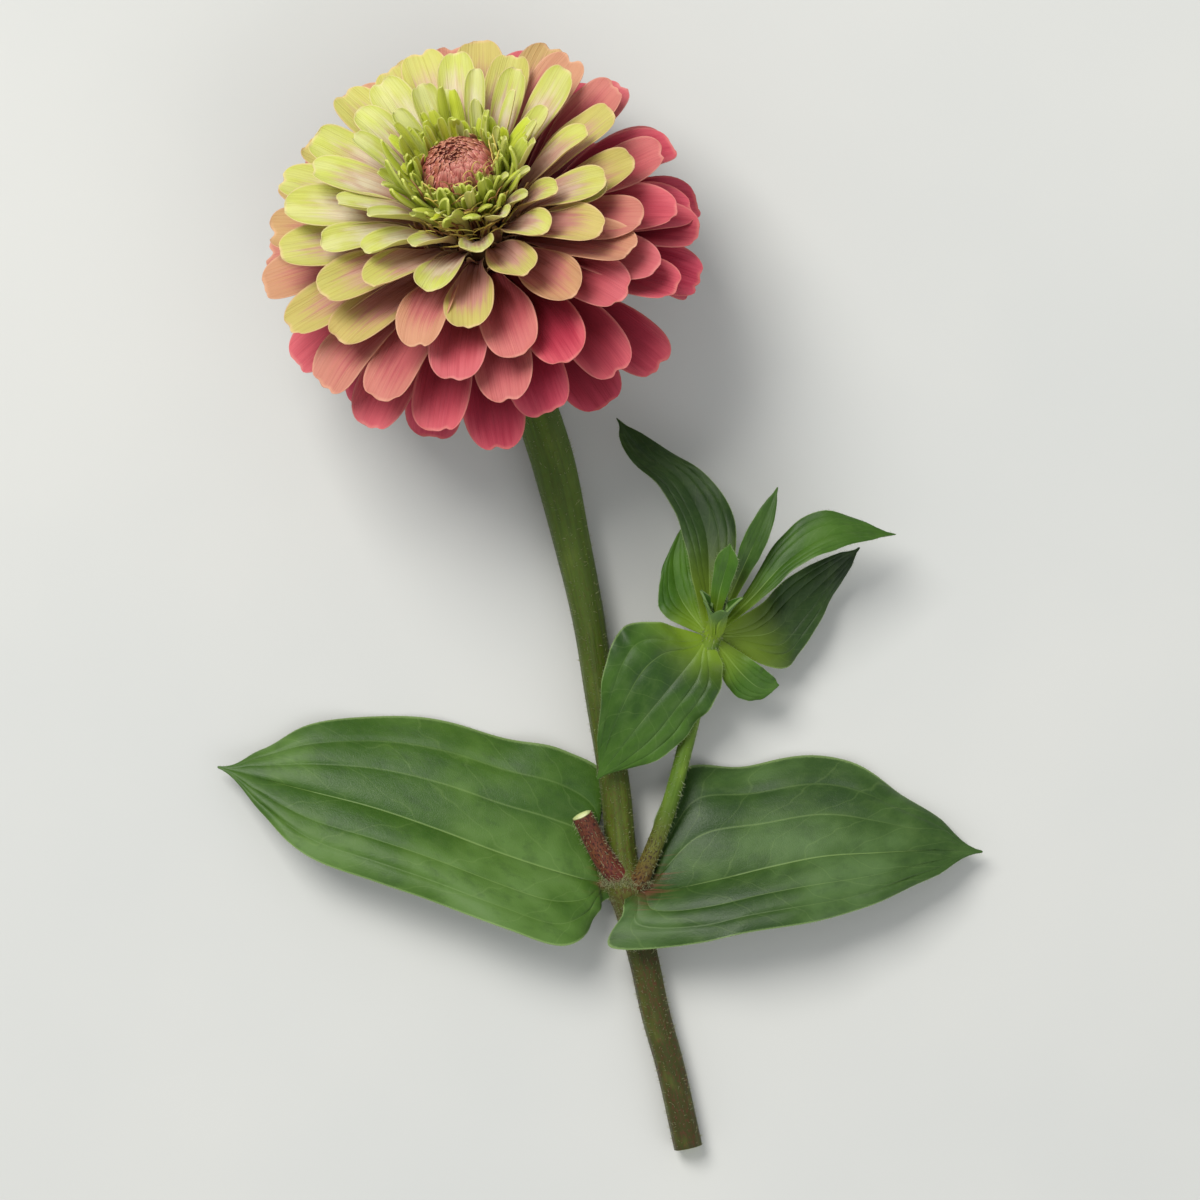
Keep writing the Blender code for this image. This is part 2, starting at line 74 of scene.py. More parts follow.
# Ray petals, oldest and lowest whorl first. Each list holds one value for each whorl.
PETALS_IN_WHORL = 13
GOLDEN_ANGLE = math.radians(137.508)
FIRST_AZIMUTH = math.radians(8)
LOWEST_ROOT = -10.0
WHORL_STEP = 2.35
RISE_AT_ROOT = (8, 16, 23, 30, 35, 42, 50, 60, 72, 80, 84)
RISE_AT_TIP = (-61, -36, -18, -5, 7, 16, 27, 40, 55, 68, 76)
PETAL_LENGTH = (26.6, 29.5, 30.6, 30.3, 28.4, 25.5, 21.9, 17.4, 13.9, 10.0, 5.6)
PETAL_WIDTH = (11.0, 11.0, 10.8, 10.6, 10.2, 9.4, 8.0, 6.0, 4.2, 3.2, 2.4)
CURL_AT_ROOT = (1.0, 1.0, 1.0, 1.0, 1.0, 1.1, 1.2, 1.4, 1.5, 1.5, 1.4)
CURL_AT_TIP = (0.35, 0.4, 0.45, 0.5, 0.55, 0.6, 0.7, 1.0, 1.3, 1.4, 1.3)
WHORLS = len(PETAL_LENGTH)
# The narrow claw at the root, as a share of the petal's width, and how far along it ends.
CLAW_SHARE = 0.27
NARROWEST_CLAW = 1.8
CLAW_END = 0.1
WIDEST_AT = 0.74
# How square the tip is, where 2 is the end of an ellipse, and how much squarer it is on the youngest petals.
TIP_POWER = (2.2, 3.1)
YOUNG_SQUARER = 1.3
TIP_REACH = 0.985
# Small notches in the tip: their depth as a share of the length, and their width as one of the half width.
NOTCH_DEPTH = 0.022
NOTCH_WIDTH = 0.16
ROOT_SUNK = 1.3
# How thick the lowest petals are taken to be where they pile up on the floor.
PRESSED_THICKNESS = 0.62
PRESSED_LAYER = 0.9
PRESSED_SPREAD = 0.9
JITTER = {"azimuth": 2.5, "rise": 2.5, "length": 0.05, "roll": 7.0, "sway": 0.04}
PETAL_SEED = 1
QUIRK_SEED = 7
PETAL_SKIN = 0.34
PETAL_ROWS = 22
PETAL_COLUMNS = 17
FURROW_AT = 0.36
FURROW_WIDTH = 0.13
FURROW_DEPTH = 0.34
MARGIN_WAVE = 0.55
TIP_FLIP = 1.2
# Each group: its first whorl, the one after its last, the solid that it stands for, and its slot.
PETAL_GROUPS = {
    "petals_crimson": (0, 4, "ray_petals_crimson", "petal_crimson"),
    "petals_blush": (4, 7, "ray_petals_blush", "petal_blush"),
    "petals_lime": (7, 11, "ray_petals_lime", "petal_lime"),
}
# Petals that fill gaps in the spiral, as (age in whorls, azimuth in degrees). They draw quirks of their own.
FILLERS = ((2.0, 250), (3.1, 226), (4.0, 223), (5.6, 238))
FIRST_FILLER = 1000
# From this age on the petals are young. They stand unevenly: how far they may lean and twist, in degrees.
YOUNG_FROM = 6.2
YOUNG_LEAN = (-9, 13)
YOUNG_TWIST = 30
YOUNG_WIDTH = (0.52, 0.78)
YOUNG_LENGTH = (-0.18, 0.12)
# The share of that twist which a grown petal has.
GROWN_TWIST = 0.2
# A petal's tone sets its colours. It is its age in whorls and some chance, and more at the far side.
# It is also higher at the left and lower at the right, which paints shade as darker crimson on the right.
TONE_SWING = 0.35
PAINTED_SHADE_BY_SIDE = 0.9
TONE_CHANCE = 1.7
# Colours by tone, as (tone, red, green, blue): at the root, middle, tip and rim of a petal, and behind it.
# The root's holds painted shade as well as the throat's own deeper colour, and the rim's a painted highlight
# as well as the margin's paler colour.
PETAL_THROAT_AND_SHADE = (
    (0, 108, 12, 32), (2, 128, 26, 42), (3, 166, 72, 78), (4, 194, 122, 116), (5, 206, 154, 144),
    (6, 204, 154, 146), (7, 202, 156, 142), (8, 200, 158, 130), (8.8, 186, 164, 90), (9.6, 180, 174, 54),
    (12, 176, 168, 46), (14, 184, 172, 68),
)
PETAL_BODY = (
    (-1.5, 138, 18, 36), (0, 186, 48, 76), (1.5, 192, 60, 82), (2.5, 202, 86, 98), (3.5, 206, 112, 114),
    (4.5, 214, 156, 144), (5.5, 218, 178, 158), (6.3, 224, 190, 168), (7, 230, 204, 176), (8, 242, 228, 188),
    (8.8, 238, 232, 164), (9.6, 206, 216, 66), (12, 202, 212, 46), (14, 224, 216, 112),
)
PETAL_TIP = (
    (-1.5, 168, 46, 64), (0, 216, 84, 106), (1.5, 220, 98, 110), (2.5, 216, 112, 118), (3.5, 214, 146, 126),
    (4.5, 212, 200, 116), (5.5, 214, 220, 110), (7, 222, 228, 120), (8.5, 220, 228, 112), (9.6, 208, 220, 62),
    (12, 212, 222, 66), (14, 240, 232, 154),
)
PETAL_RIM_AND_HIGHLIGHT = (
    (-1.5, 192, 82, 84), (0, 222, 118, 112), (2.5, 230, 148, 142), (4.5, 236, 204, 154), (6.5, 242, 228, 172),
    (8, 242, 238, 178), (10, 222, 224, 130), (12, 222, 224, 132), (14, 240, 234, 170),
)
PETAL_BACK = (
    (0, 182, 88, 86), (3, 196, 124, 96), (5, 204, 166, 112), (7, 212, 202, 124), (9, 190, 200, 84),
    (12, 178, 192, 64), (14, 220, 212, 120),
)
# By tone: how far along a petal the throat's colour and its painted shade fade out, where the tip's starts,
# and how much of the painted cream highlight and of the dusty colour shows.
THROAT_AND_SHADE_ENDS = ((0, 0.96), (2.5, 0.92), (4, 0.8), (6, 0.68), (8, 0.56), (9.5, 0.4), (14, 0.3))
TIP_STARTS = (
    (0, 0.97), (1.5, 0.95), (2.5, 0.89), (3.5, 0.82), (4.5, 0.77), (5.5, 0.77), (6.5, 0.73), (7.5, 0.72),
    (8.3, 0.64), (9.2, 0.36), (10, 0.05), (14, 0.0),
)
PAINTED_HIGHLIGHT_BY_TONE = ((0, 0.0), (4.5, 0.0), (6, 0.5), (7.5, 0.95), (8.8, 1.0), (9.7, 0.2), (14, 0.0))
DUSTY_BY_TONE = ((0, 0.0), (4.2, 0.15), (6, 0.5), (8, 0.5), (9.3, 0.1), (14, 0.0))

# The middle of the head, between and under the petals. Its top under the disc is (radius, height) points.
COLUMN_RADIUS = 8.0
COLUMN_NARROWING = 1.4
CORE_HEIGHTS = (-11.2, 14.3)
CORE_ROWS = 16
CORE_TOP = ((5.8, 15.6), (5.2, 17.1), (3.8, 18.0), (2.2, 17.6), (0.6, 16.7))
TURNED_SIDES = 40
CHAFF_SEED = 21
CHAFF_FIRST_WHORL = 1
CHAFF_LENGTH = 6.2
CHAFF_WIDTH = 1.7
CHAFF_SKIN = 0.16
STYLE_SEED = 33
STYLE_COUNT = 64
STYLE_WHORLS = (4.6, 8.4)
STYLE_LENGTH = 7.6
STYLE_RADIUS = 0.2
STYLE_SIDES = 6
STYLE_ARM = 3.4
# The threads show in the gap in front of the disc: how far to each side of it they spread.
STYLE_SPREAD = math.radians(44)

# The disc: a dome of scales in spirals, which lean in towards the hollow at its middle.
# Its top as heights by radius: a soft ring round that hollow.
DISC_CROWN = ((0.0, 1.2, 2.4, 3.8, 5.0, 6.1), (16.0, 16.8, 17.4, 17.8, 17.2, 15.7))
DISC_SEED = 5
DISC_SCALES = 380
DISC_RADIUS = 6.1
SCALE_SUNK = 1.0
SCALE_LENGTH = 2.5
SCALE_WIDTH = 1.06
SCALE_SKIN = 0.12
SCALE_SWIRL = math.radians(14)
SCALE_TILT = 0.55
# The youngest petals round the disc, in rings: how many, the ring's radius, their length, width and tone.
KNOB_RINGS = (
    (32, 6.3, 1.7, 1.15, 12.8),
    (28, 6.6, 3.0, 1.6, 11.6),
    (26, 6.9, 5.4, 2.1, 11.0),
    (24, 7.3, 8.2, 2.6, 10.2),
    (22, 7.7, 11.2, 3.0, 9.9),
)
KNOB_SEED = 9
KNOB_SKIN = 0.4
# The first ring's radius and height. The others sit lower and lean out more, by so much a millimetre.
KNOB_SEAT = (6.3, 13.9)
KNOB_SLOPE = 2.6
KNOB_OUTWARD = 0.24

# The involucre: a green cup of overlapping bracts under the petals.
CUP_PROFILE = ((3.4, -23.4), (4.6, -22.7), (6.9, -20.2), (8.1, -16.8), (8.3, -13.6), (7.7, -11.5))
CUP_STEPS = 3
BRACTS = 21
BRACT_STARTS = (-21.7, -16.3)
BRACT_LENGTH = 5.4
BRACT_WIDTH = 6.6
BRACT_FLARE = 0.75
BRACT_SHAPE = ((0.0, 0.75), (0.3, 0.93), (0.55, 1.0), (0.8, 0.88), (0.93, 0.62), (1.0, 0.28))
BRACT_THICKNESS = 0.45

# The stem's middle from under the neck to the cut end: (x, y, height, radius).
NECK = ((-23.7, 3.4), (-27.5, 3.45))
STEM = (
    (7.0, -21.4, 7.6, 3.6),
    (9.1, -28.0, 6.5, 3.75),
    (12.9, -39.9, 5.7, 3.8),
    (16.2, -53.8, 5.1, 3.25),
    (19.1, -67.3, 4.8, 2.85),
    (21.4, -82.1, 4.5, 2.7),
    (23.8, -97.1, 4.2, 2.65),
    (24.8, -108.0, 3.95, 2.75),
    (25.7, -114.0, 3.8, 3.3),
    (26.9, -119.5, 3.6, 2.8),
    (28.9, -127.5, 3.3, 2.6),
    (30.9, -136.7, 3.0, 2.55),
    (33.6, -146.5, 2.75, 2.5),
    (36.6, -160.0, 2.5, 2.5),
)
NODE_Y = -114.0
NODE_SWELL = 0.6
NODE_LENGTH = 1.7
STEM_SIDES = 32
STEM_STEPS = 9
STEM_RIBS = 9
RIB_HEIGHT = 0.06
STUB = ((24.6, -112.6, 5.2, 2.1), (21.6, -109.0, 7.2, 1.95), (17.9, -101.6, 9.2, 1.85))
SHOOT = (
    (26.6, -114.6, 4.4, 1.9),
    (28.6, -111.6, 7.0, 1.6),
    (32.6, -101.4, 8.3, 1.4),
    (35.5, -91.3, 8.3, 1.35),
    (38.2, -80.0, 8.5, 1.45),
    (40.1, -71.8, 10.4, 1.75),
    (41.1, -68.3, 13.6, 1.3),
)
TWIG_SIDES = 16
TWIG_STEPS = 10
# The cut ends, from the bark in to the pith: (share of the radius, how far it stands out or sinks in).
CUT_RINGS = ((0.93, 0.12), (0.8, 0.08), (0.7, -0.1), (0.5, -0.45), (0.2, -0.6))
# The stem's colours from the neck to its end, and a cut's from the bark in: (place, red, green, blue).
STEM_COLOURS = (
    (0.0, 84, 116, 30), (0.16, 74, 100, 22), (0.4, 62, 80, 12), (0.6, 74, 86, 16), (0.68, 92, 92, 36),
    (0.76, 60, 62, 14), (1.0, 52, 50, 10),
)
CUT_COLOURS = ((0.0, 108, 120, 60), (0.3, 186, 196, 132), (0.6, 214, 214, 176), (1.0, 232, 228, 204))
# Hairs: their lengths and radius, how deep their feet sit, and how close to the floor they may come.
HAIR_LENGTH = (0.35, 0.85)
HAIR_RADIUS = 0.045
HAIR_SUNK = 0.1
HAIR_CLEAR = {"root": 0.3, "tip": 0.05}
# On each stalk: how many there are, and their seed.
STEM_HAIRS = (3600, 41)
STUB_HAIRS = (300, 42)
TWIG_HAIRS = (900, 43)
# Round the node longer ones make a ring.
NODE_HAIRS = (620, 44)
NODE_HAIR_LENGTH = (0.6, 1.3)
NODE_RING = (25.6, -113.4, 4.2)
NODE_RING_RADIUS = 3.85
# How thick the hairs there and along the leaves' margins are, as a share of the others.
FINE_HAIR = 0.8

# Each leaf as stations from its root to its tip: one margin, the midrib and the other margin.
# The pair at the node start inside the stem, which they clasp.
LEAF_LEFT = (
    ((24.0, -111.8, 4.4), (24.2, -113.6, 4.4), (24.0, -115.6, 4.6)),
    ((21.4, -110.8, 4.8), (21.4, -113.6, 4.8), (21.4, -116.8, 5.2)),
    ((20.9, -103.5, 2.4), (20.0, -113.3, 5.4), (21.0, -118.4, 7.2)),
    ((21.8, -95.0, 0.8), (17.2, -112.6, 6.4), (19.2, -121.8, 9.6)),
    ((14.8, -90.6, 1.2), (10.6, -110.6, 7.4), (14.2, -124.2, 12.8)),
    ((6.5, -88.7, 1.4), (2.5, -107.8, 8.2), (4.5, -121.2, 14.2)),
    ((-4.3, -85.5, 1.0), (-7.5, -104.0, 8.4), (-7.0, -116.6, 14.0)),
    ((-16.2, -84.4, 0.4), (-18.5, -100.3, 7.8), (-18.0, -113.0, 12.6)),
    ((-29.6, -86.4, 1.2), (-29.8, -97.4, 6.6), (-29.6, -108.7, 10.4)),
    ((-38.7, -90.2, 2.0), (-38.8, -95.2, 4.9), (-38.4, -100.8, 7.2)),
    ((-45.6, -92.5, 3.4), (-46.0, -93.3, 3.4), (-45.6, -94.1, 3.5)),
)
LEAF_RIGHT = (
    ((27.4, -112.0, 4.2), (27.2, -114.4, 5.2), (25.4, -116.4, 7.0)),
    ((29.7, -110.6, 4.0), (29.7, -114.6, 5.8), (25.0, -118.6, 9.4)),
    ((31.6, -101.5, 3.2), (34.5, -114.4, 7.4), (23.0, -124.6, 10.4)),
    ((36.1, -93.6, 2.0), (42.6, -112.7, 8.6), (38.0, -123.6, 13.2)),
    ((47.1, -92.8, 1.2), (51.0, -110.6, 9.0), (48.0, -121.6, 14.0)),
    ((59.8, -91.5, 0.4), (60.0, -108.8, 8.8), (58.0, -120.0, 13.4)),
    ((69.6, -95.1, 1.2), (69.3, -108.2, 7.8), (67.9, -117.3, 11.4)),
    ((78.8, -100.9, 2.4), (78.9, -107.8, 6.2), (77.5, -113.0, 8.6)),
    ((87.7, -107.3, 4.0), (88.1, -108.1, 4.0), (87.7, -108.9, 4.1)),
)
# The shoot's leaves, each with how young it is, where 0 is dark and full grown and 1 is fresh.
SHOOT_LEAVES = {
    "drooping": (0.55, (
        ((38.6, -70.0, 11.6), (39.6, -71.0, 11.2), (40.9, -71.8, 11.2)),
        ((30.5, -67.8, 14.5), (36.2, -75.5, 12.6), (42.6, -77.0, 11.8)),
        ((24.3, -69.5, 14.2), (31.5, -81.3, 13.2), (39.6, -83.2, 11.6)),
        ((21.4, -79.5, 12.6), (26.3, -87.8, 12.4), (33.6, -90.0, 11.0)),
        ((20.1, -94.4, 9.8), (20.6, -95.2, 9.6), (21.4, -95.3, 9.6)),
    )),
    "short_low": (0.7, (
        ((40.6, -72.3, 10.6), (41.4, -71.6, 10.6), (42.0, -70.8, 10.6)),
        ((43.5, -79.5, 9.0), (46.2, -77.2, 10.0), (47.8, -74.6, 10.5)),
        ((48.2, -81.6, 8.2), (49.3, -79.4, 9.0), (50.4, -76.6, 9.6)),
        ((52.0, -79.4, 8.6), (52.3, -78.9, 8.5), (52.2, -78.2, 8.6)),
    )),
    "dark_low": (0.15, (
        ((41.4, -71.4, 9.9), (41.4, -70.2, 9.9), (41.0, -69.2, 10.1)),
        ((52.8, -76.0, 7.5), (50.5, -69.8, 8.3), (48.9, -64.9, 8.7)),
        ((57.8, -70.3, 6.5), (55.6, -65.1, 7.3), (53.2, -60.6, 8.0)),
        ((62.4, -62.4, 6.0), (60.8, -60.2, 6.5), (58.8, -57.4, 7.0)),
        ((66.7, -55.4, 6.0), (66.5, -54.8, 6.0), (65.9, -54.6, 6.0)),
    )),
    "long_right": (0.6, (
        ((40.7, -68.6, 12.2), (41.3, -69.2, 12.0), (42.0, -69.6, 11.9)),
        ((46.6, -62.4, 14.0), (47.3, -63.9, 14.8), (48.0, -64.7, 15.8)),
        ((52.6, -52.8, 15.0), (54.2, -56.8, 16.0), (55.0, -58.6, 17.6)),
        ((60.1, -48.6, 14.2), (62.2, -52.6, 15.2), (62.9, -54.8, 16.4)),
        ((71.9, -52.1, 12.3), (72.5, -52.6, 12.0), (71.9, -53.0, 12.3)),
    )),
    "long_left": (0.15, (
        ((39.2, -69.2, 12.3), (40.0, -68.6, 12.5), (40.8, -68.2, 12.4)),
        ((37.1, -61.0, 15.0), (40.0, -60.5, 13.5), (43.8, -60.8, 14.0)),
        ((35.5, -52.5, 14.5), (39.2, -51.5, 12.5), (44.5, -50.3, 13.0)),
        ((31.5, -44.6, 12.0), (35.3, -43.6, 11.0), (40.0, -42.7, 11.5)),
        ((25.6, -38.4, 9.5), (28.8, -38.3, 9.0), (32.2, -37.4, 9.5)),
        ((23.6, -32.6, 7.5), (24.0, -32.2, 7.4), (24.5, -32.4, 7.5)),
    )),
    "upright": (0.4, (
        ((41.3, -67.5, 13.2), (41.7, -67.7, 13.4), (42.3, -67.9, 13.3)),
        ((44.2, -58.5, 17.0), (45.6, -59.0, 16.2), (46.9, -59.7, 17.0)),
        ((46.6, -51.6, 18.8), (48.6, -52.2, 18.0), (50.4, -53.0, 18.8)),
        ((51.3, -44.7, 18.5), (51.8, -44.5, 18.4), (52.1, -45.0, 18.5)),
    )),
    "small_middle": (0.9, (
        ((40.4, -68.2, 13.6), (40.9, -68.6, 13.8), (41.4, -68.9, 13.7)),
        ((40.3, -62.0, 18.4), (41.8, -62.6, 17.6), (43.0, -63.2, 18.4)),
        ((41.2, -56.6, 21.4), (43.2, -57.2, 20.6), (44.8, -58.0, 21.4)),
        ((43.0, -54.6, 21.8), (43.5, -54.3, 21.7), (43.9, -54.8, 21.8)),
    )),
    "left_behind": (0.95, (
        ((39.0, -70.1, 11.2), (39.5, -69.6, 11.0), (40.0, -69.1, 11.1)),
        ((32.0, -66.4, 11.5), (35.0, -63.5, 10.2), (37.8, -62.0, 10.8)),
        ((31.6, -59.8, 11.0), (33.8, -57.2, 9.9), (36.8, -56.4, 10.4)),
        ((34.7, -51.9, 9.4), (35.2, -51.6, 9.3), (35.7, -51.8, 9.4)),
    )),
}
LEAF_PILLOW = 0.8
SHOOT_PILLOW = 0.3
LEAF_WAVE = 0.7
SHOOT_WAVE = 1.0
# A leaf that is at least this wide has its full relief.
FULL_WIDTH = 20
LEAF_SKIN = 0.42
LEAF_CLEAR = 0.05
LEAF_STEPS = 8
PAIR_SEED = 3
SHOOT_SEED = 11
# Where the side veins run, as shares of the way from the midrib to the margin.
SIDE_VEINS = (0.42, 0.72)
VEIN_WIDTH = 0.035
VEIN_DEPTH = 0.22
QUILT_HEIGHT = 0.22
# From the node out, the side veins leave the midrib's foot over these shares of the leaf's length.
VEINS_OPEN_BY = (0.35, 0.4)
VEINS_START_AT = (0.25, 0.45)
POINT_FROM = 0.9
POINT_SHARE = 0.25
MARGIN_HAIR_STEP = 0.45
MARGIN_HAIR_LENGTH = (0.25, 0.6)
# Grown and young leaves' colours, each from dark patches to light ones.
PAIR_COLOURS = (((34, 62, 15), (56, 86, 28)), ((54, 90, 19), (86, 122, 38)))
SHOOT_COLOURS = (((12, 30, 4), (24, 48, 9)), ((44, 84, 8), (80, 124, 24)))
# The young leaves at the shoot's tip: round which point, which way up, how many, and how long they are.
HUB = (41.2, -69.6, 14.0)
HUB_UP = (0.08, 0.9, 0.75)
HUB_SEED = 61
HUB_LEAVES = 11
HUB_LENGTH = (4.0, 9.0)
HUB_SKIN = 0.4

# The picture: the camera looks straight down, and the light comes from over the head, a little from the left.
CAMERA_HEIGHT = 1100.0
VIEW_WIDTH = 208.0
SENSOR = 36.0
FLOOR_SIZE = 3000.0
# Each light's place and size in metres, its power and its colour.
LIGHTS = {
    "key": ((-0.45, 0.6, 1.0), 0.6, 14.5, (1.0, 0.985, 0.955)),
    "fill": ((0.6, -0.7, 0.7), 1.0, 3.2, (0.97, 0.985, 1.0)),
}
SURROUND_COLOUR = (0.95, 0.98, 1.0, 1)
SURROUND_STRENGTH = 0.56


def basis_of_head():
    """The head's axes: downhill towards the floor, across, and out along its own axis."""
    flat = np.array([-math.sin(HEAD_TURN), math.cos(HEAD_TURN), 0])
    axis = flat * math.sin(HEAD_LEAN) + UP * math.cos(HEAD_LEAN)
    downhill = flat * math.cos(HEAD_LEAN) - UP * math.sin(HEAD_LEAN)
    return np.array([downhill, np.cross(axis, downhill), axis])


HEAD_BASIS = basis_of_head()


def from_head(points):
    """Points of the head's frame, as points of the drawing."""
    return np.asarray(points) @ HEAD_BASIS + HEAD_HEIGHT * UP


def around(turn):
    """Unit vectors out from the head's axis and sideways, at a turn round it."""
    out = np.array([math.cos(turn), math.sin(turn), 0])
    return out, np.cross(UP, out)


def circle(count):
    """Turns in even steps round a circle."""
    return 2 * math.pi * np.arange(count) / count


def eased(low, high, count):
    """Steps from low to high that lie closer together near -1 and 1."""
    return np.sin(np.linspace(low, high, count) * math.pi / 2)


def smooth(x):
    """Runs from 0 to 1 with a level start and end."""
    x = np.clip(x, 0, 1)
    return x * x * (3 - 2 * x)


def hump(x, width):
    """A rounded bump of height 1 at 0."""
    return np.exp(-((x / width) ** 2))


def unit(vectors):
    return vectors / np.maximum(np.linalg.norm(vectors, axis=-1, keepdims=True), 1e-9)


def at_whorl(values, whorl):
    """A value for a place between two whorls."""
    return float(np.interp(whorl, range(WHORLS), values))


def column_radius(whorl):
    """How far from the axis a whorl's petals leave the column."""
    return COLUMN_RADIUS - COLUMN_NARROWING * max(whorl / (WHORLS - 1), 0) ** 2


def root_height(whorl):
    return LOWEST_ROOT + WHORL_STEP * whorl


def in_between(points, steps):
    """More points along a smooth curve through the given ones. It works on any table of numbers."""
    known = np.array(points, dtype=float)
    ends = np.concatenate([[2 * known[0] - known[1]], known, [2 * known[-1] - known[-2]]])
    made = []
    for i in range(len(known) - 1):
        p0, p1, p2, p3 = ends[i : i + 4]
        for t in np.arange(steps) / steps:
            square = t * t * (p0 - 2.5 * p1 + 2 * p2 - 0.5 * p3)
            cube = t * t * t * (1.5 * p1 - 0.5 * p0 - 1.5 * p2 + 0.5 * p3)
            made.append(p1 + 0.5 * t * (p2 - p0) + square + cube)
    return np.array([*made, known[-1]])


def travelled(points):
    """Lengths along a path from its start. Several paths may run side by side."""
    steps = np.linalg.norm(np.diff(points, axis=0), axis=-1)
    return np.concatenate([np.zeros_like(steps[:1]), np.cumsum(steps, axis=0)])


def surface_normals(grid):
    """Unit normals of a grid of points, by the differences between neighbours."""
    return unit(np.cross(np.gradient(grid, axis=0), np.gradient(grid, axis=1)))


def add_object(name, data):
    made = bpy.data.objects.new(name, data)
    bpy.context.scene.collection.objects.link(made)
    return made


class Piece:
    """Gathers blades, tubes and hairs into one mesh, with the facts that its material reads at each point."""

    def __init__(self, name):
        self.name = name
        self.points = []
        self.faces = []
        self.facts = []
        self.grain = []
        self.count = 0

    def add(self, points, faces, grain=None, **facts):
        """Adds points, none under the floor, and groups of faces. A fact is one number, or one a point."""
        points = np.array(points, dtype=float).reshape(-1, 3)
        points[:, 2] = np.maximum(points[:, 2], 0)
        for group in faces:
            self.faces += (np.asarray(group) + self.count).tolist()
        self.points.append(points)
        self.facts.append({key: np.broadcast_to(fact, len(points)) for key, fact in facts.items()})
        self.grain.append(np.zeros((len(points), 2)) if grain is None else grain)
        self.count += len(points)

    def fact(self, key):
        """One fact at every point, 0 where a part doesn't have it."""
        parts = [facts.get(key, np.zeros(len(points))) for facts, points in zip(self.facts, self.points)]
        return np.concatenate(parts).astype(np.float32)

    def make(self, material, slot=None, replaces=()):
        """Makes the object, which moves with the model's one body."""
        mesh = bpy.data.meshes.new(self.name)
        places = (np.concatenate(self.points) - FOOTPRINT_CENTRE) * MM
        mesh.from_pydata(places.tolist(), [], self.faces)
        for key in sorted({key for facts in self.facts for key in facts}):
            mesh.attributes.new(key, "FLOAT", "POINT").data.foreach_set("value", self.fact(key))
        corners = np.zeros(len(mesh.loops), np.int32)
        mesh.loops.foreach_get("vertex_index", corners)
        grain = np.concatenate(self.grain)[corners].astype(np.float32)
        mesh.uv_layers.new(name="grain").data.foreach_set("uv", grain.ravel())
        mesh.shade_smooth()
        mesh.set_sharp_from_angle(angle=math.radians(65))
        mesh.materials.append(material)
        made = add_object(self.name, mesh)
        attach(made, "root")
        if replaces:
            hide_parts(*replaces)


def grain_of(grid):
    """Lengths across from the middle column and along it, for the grain map."""
    middle = grid.shape[1] // 2
    across = travelled(grid.swapaxes(0, 1)).T
    across = across - across[:, middle : middle + 1]
    along = np.broadcast_to(travelled(grid[:, middle])[:, None], across.shape)
    return np.stack([across, along], axis=-1).reshape(-1, 2) / GRAIN_MM


def add_blade(piece, grid, thickness, u, v, upper=1.0, **facts):
    """A closed thin solid round a grid of points. upper is -1 where the grid's normals point down."""
    rows, columns = grid.shape[:2]
    offset = surface_normals(grid) * np.broadcast_to(thickness, (rows, columns))[..., None] / 2
    under = rows * columns
    index = np.arange(under).reshape(rows, columns)
    quads = np.stack([index[:-1, :-1], index[:-1, 1:], index[1:, 1:], index[1:, :-1]], axis=-1).reshape(-1, 4)
    rim = np.concatenate([index[0], index[1:, -1], index[-1, -2::-1], index[-2:0:-1, 0]])
    after = np.roll(rim, -1)
    edge = np.stack([rim, after, after + under, rim + under], axis=-1)
    along, across = (np.tile(share.ravel(), 2) for share in np.meshgrid(u, v, indexing="ij"))
    piece.add(
        np.stack([grid + offset, grid - offset]),
        (quads[:, [0, 3, 2, 1]], quads + under, edge),
        np.tile(grain_of(grid), (2, 1)),
        along=along,
        across=across,
        under=np.repeat([0.0, 1.0] if upper > 0 else [1.0, 0.0], under),
        **facts,
    )


def rings_along(path, sides):
    """The tangents of a path, and unit vectors that point out round it without twisting."""
    ahead = unit(np.gradient(path, axis=0))
    side = np.cross(ahead[0], UP)
    if np.linalg.norm(side) < 0.1:
        side = np.cross(ahead[0], (0, 1, 0))
    turns = circle(sides)[:, None]
    out = []
    for tangent in ahead:
        side = side - tangent * (side @ tangent)
        side = side / np.linalg.norm(side)
        out.append(np.cos(turns) * side + np.sin(turns) * np.cross(side, tangent))
    return ahead, np.array(out)


def add_rings(piece, rings, grain=None, inside_out=False, **facts):
    """A closed tube through rings of points. Its ends are single faces."""
    rows, sides = rings.shape[:2]
    index = np.arange(rows * sides).reshape(rows, sides)
    turned = np.roll(index, -1, axis=1)
    walls = np.stack([index[:-1], index[1:], turned[1:], turned[:-1]], axis=-1).reshape(-1, 4)
    faces = [walls, index[:1], index[-1:, ::-1]]
    if inside_out:
        faces = [group[:, ::-1] for group in faces]
    piece.add(rings, faces, grain, **{"along": np.repeat(np.linspace(0, 1, rows), sides), **facts})


def add_thread(piece, path, radii, **facts):
    """A thin tube along a path of the head's frame."""
    path = from_head(path)
    _, out = rings_along(path, STYLE_SIDES)
    add_rings(piece, path[:, None] + out * radii[:, None, None], **facts)


def add_turned(piece, profile, **facts):
    """A closed solid of revolution round the head's axis. Its profile is (radius, height), lowest first."""
    rings = [[(r * math.cos(a), r * math.sin(a), z) for a in circle(TURNED_SIDES)] for r, z in profile]
    grain = [(k / TURNED_SIDES * 0.4, z / GRAIN_MM + 0.3) for _, z in profile for k in range(TURNED_SIDES)]
    add_rings(piece, from_head(rings), np.array(grain), inside_out=True, **facts)


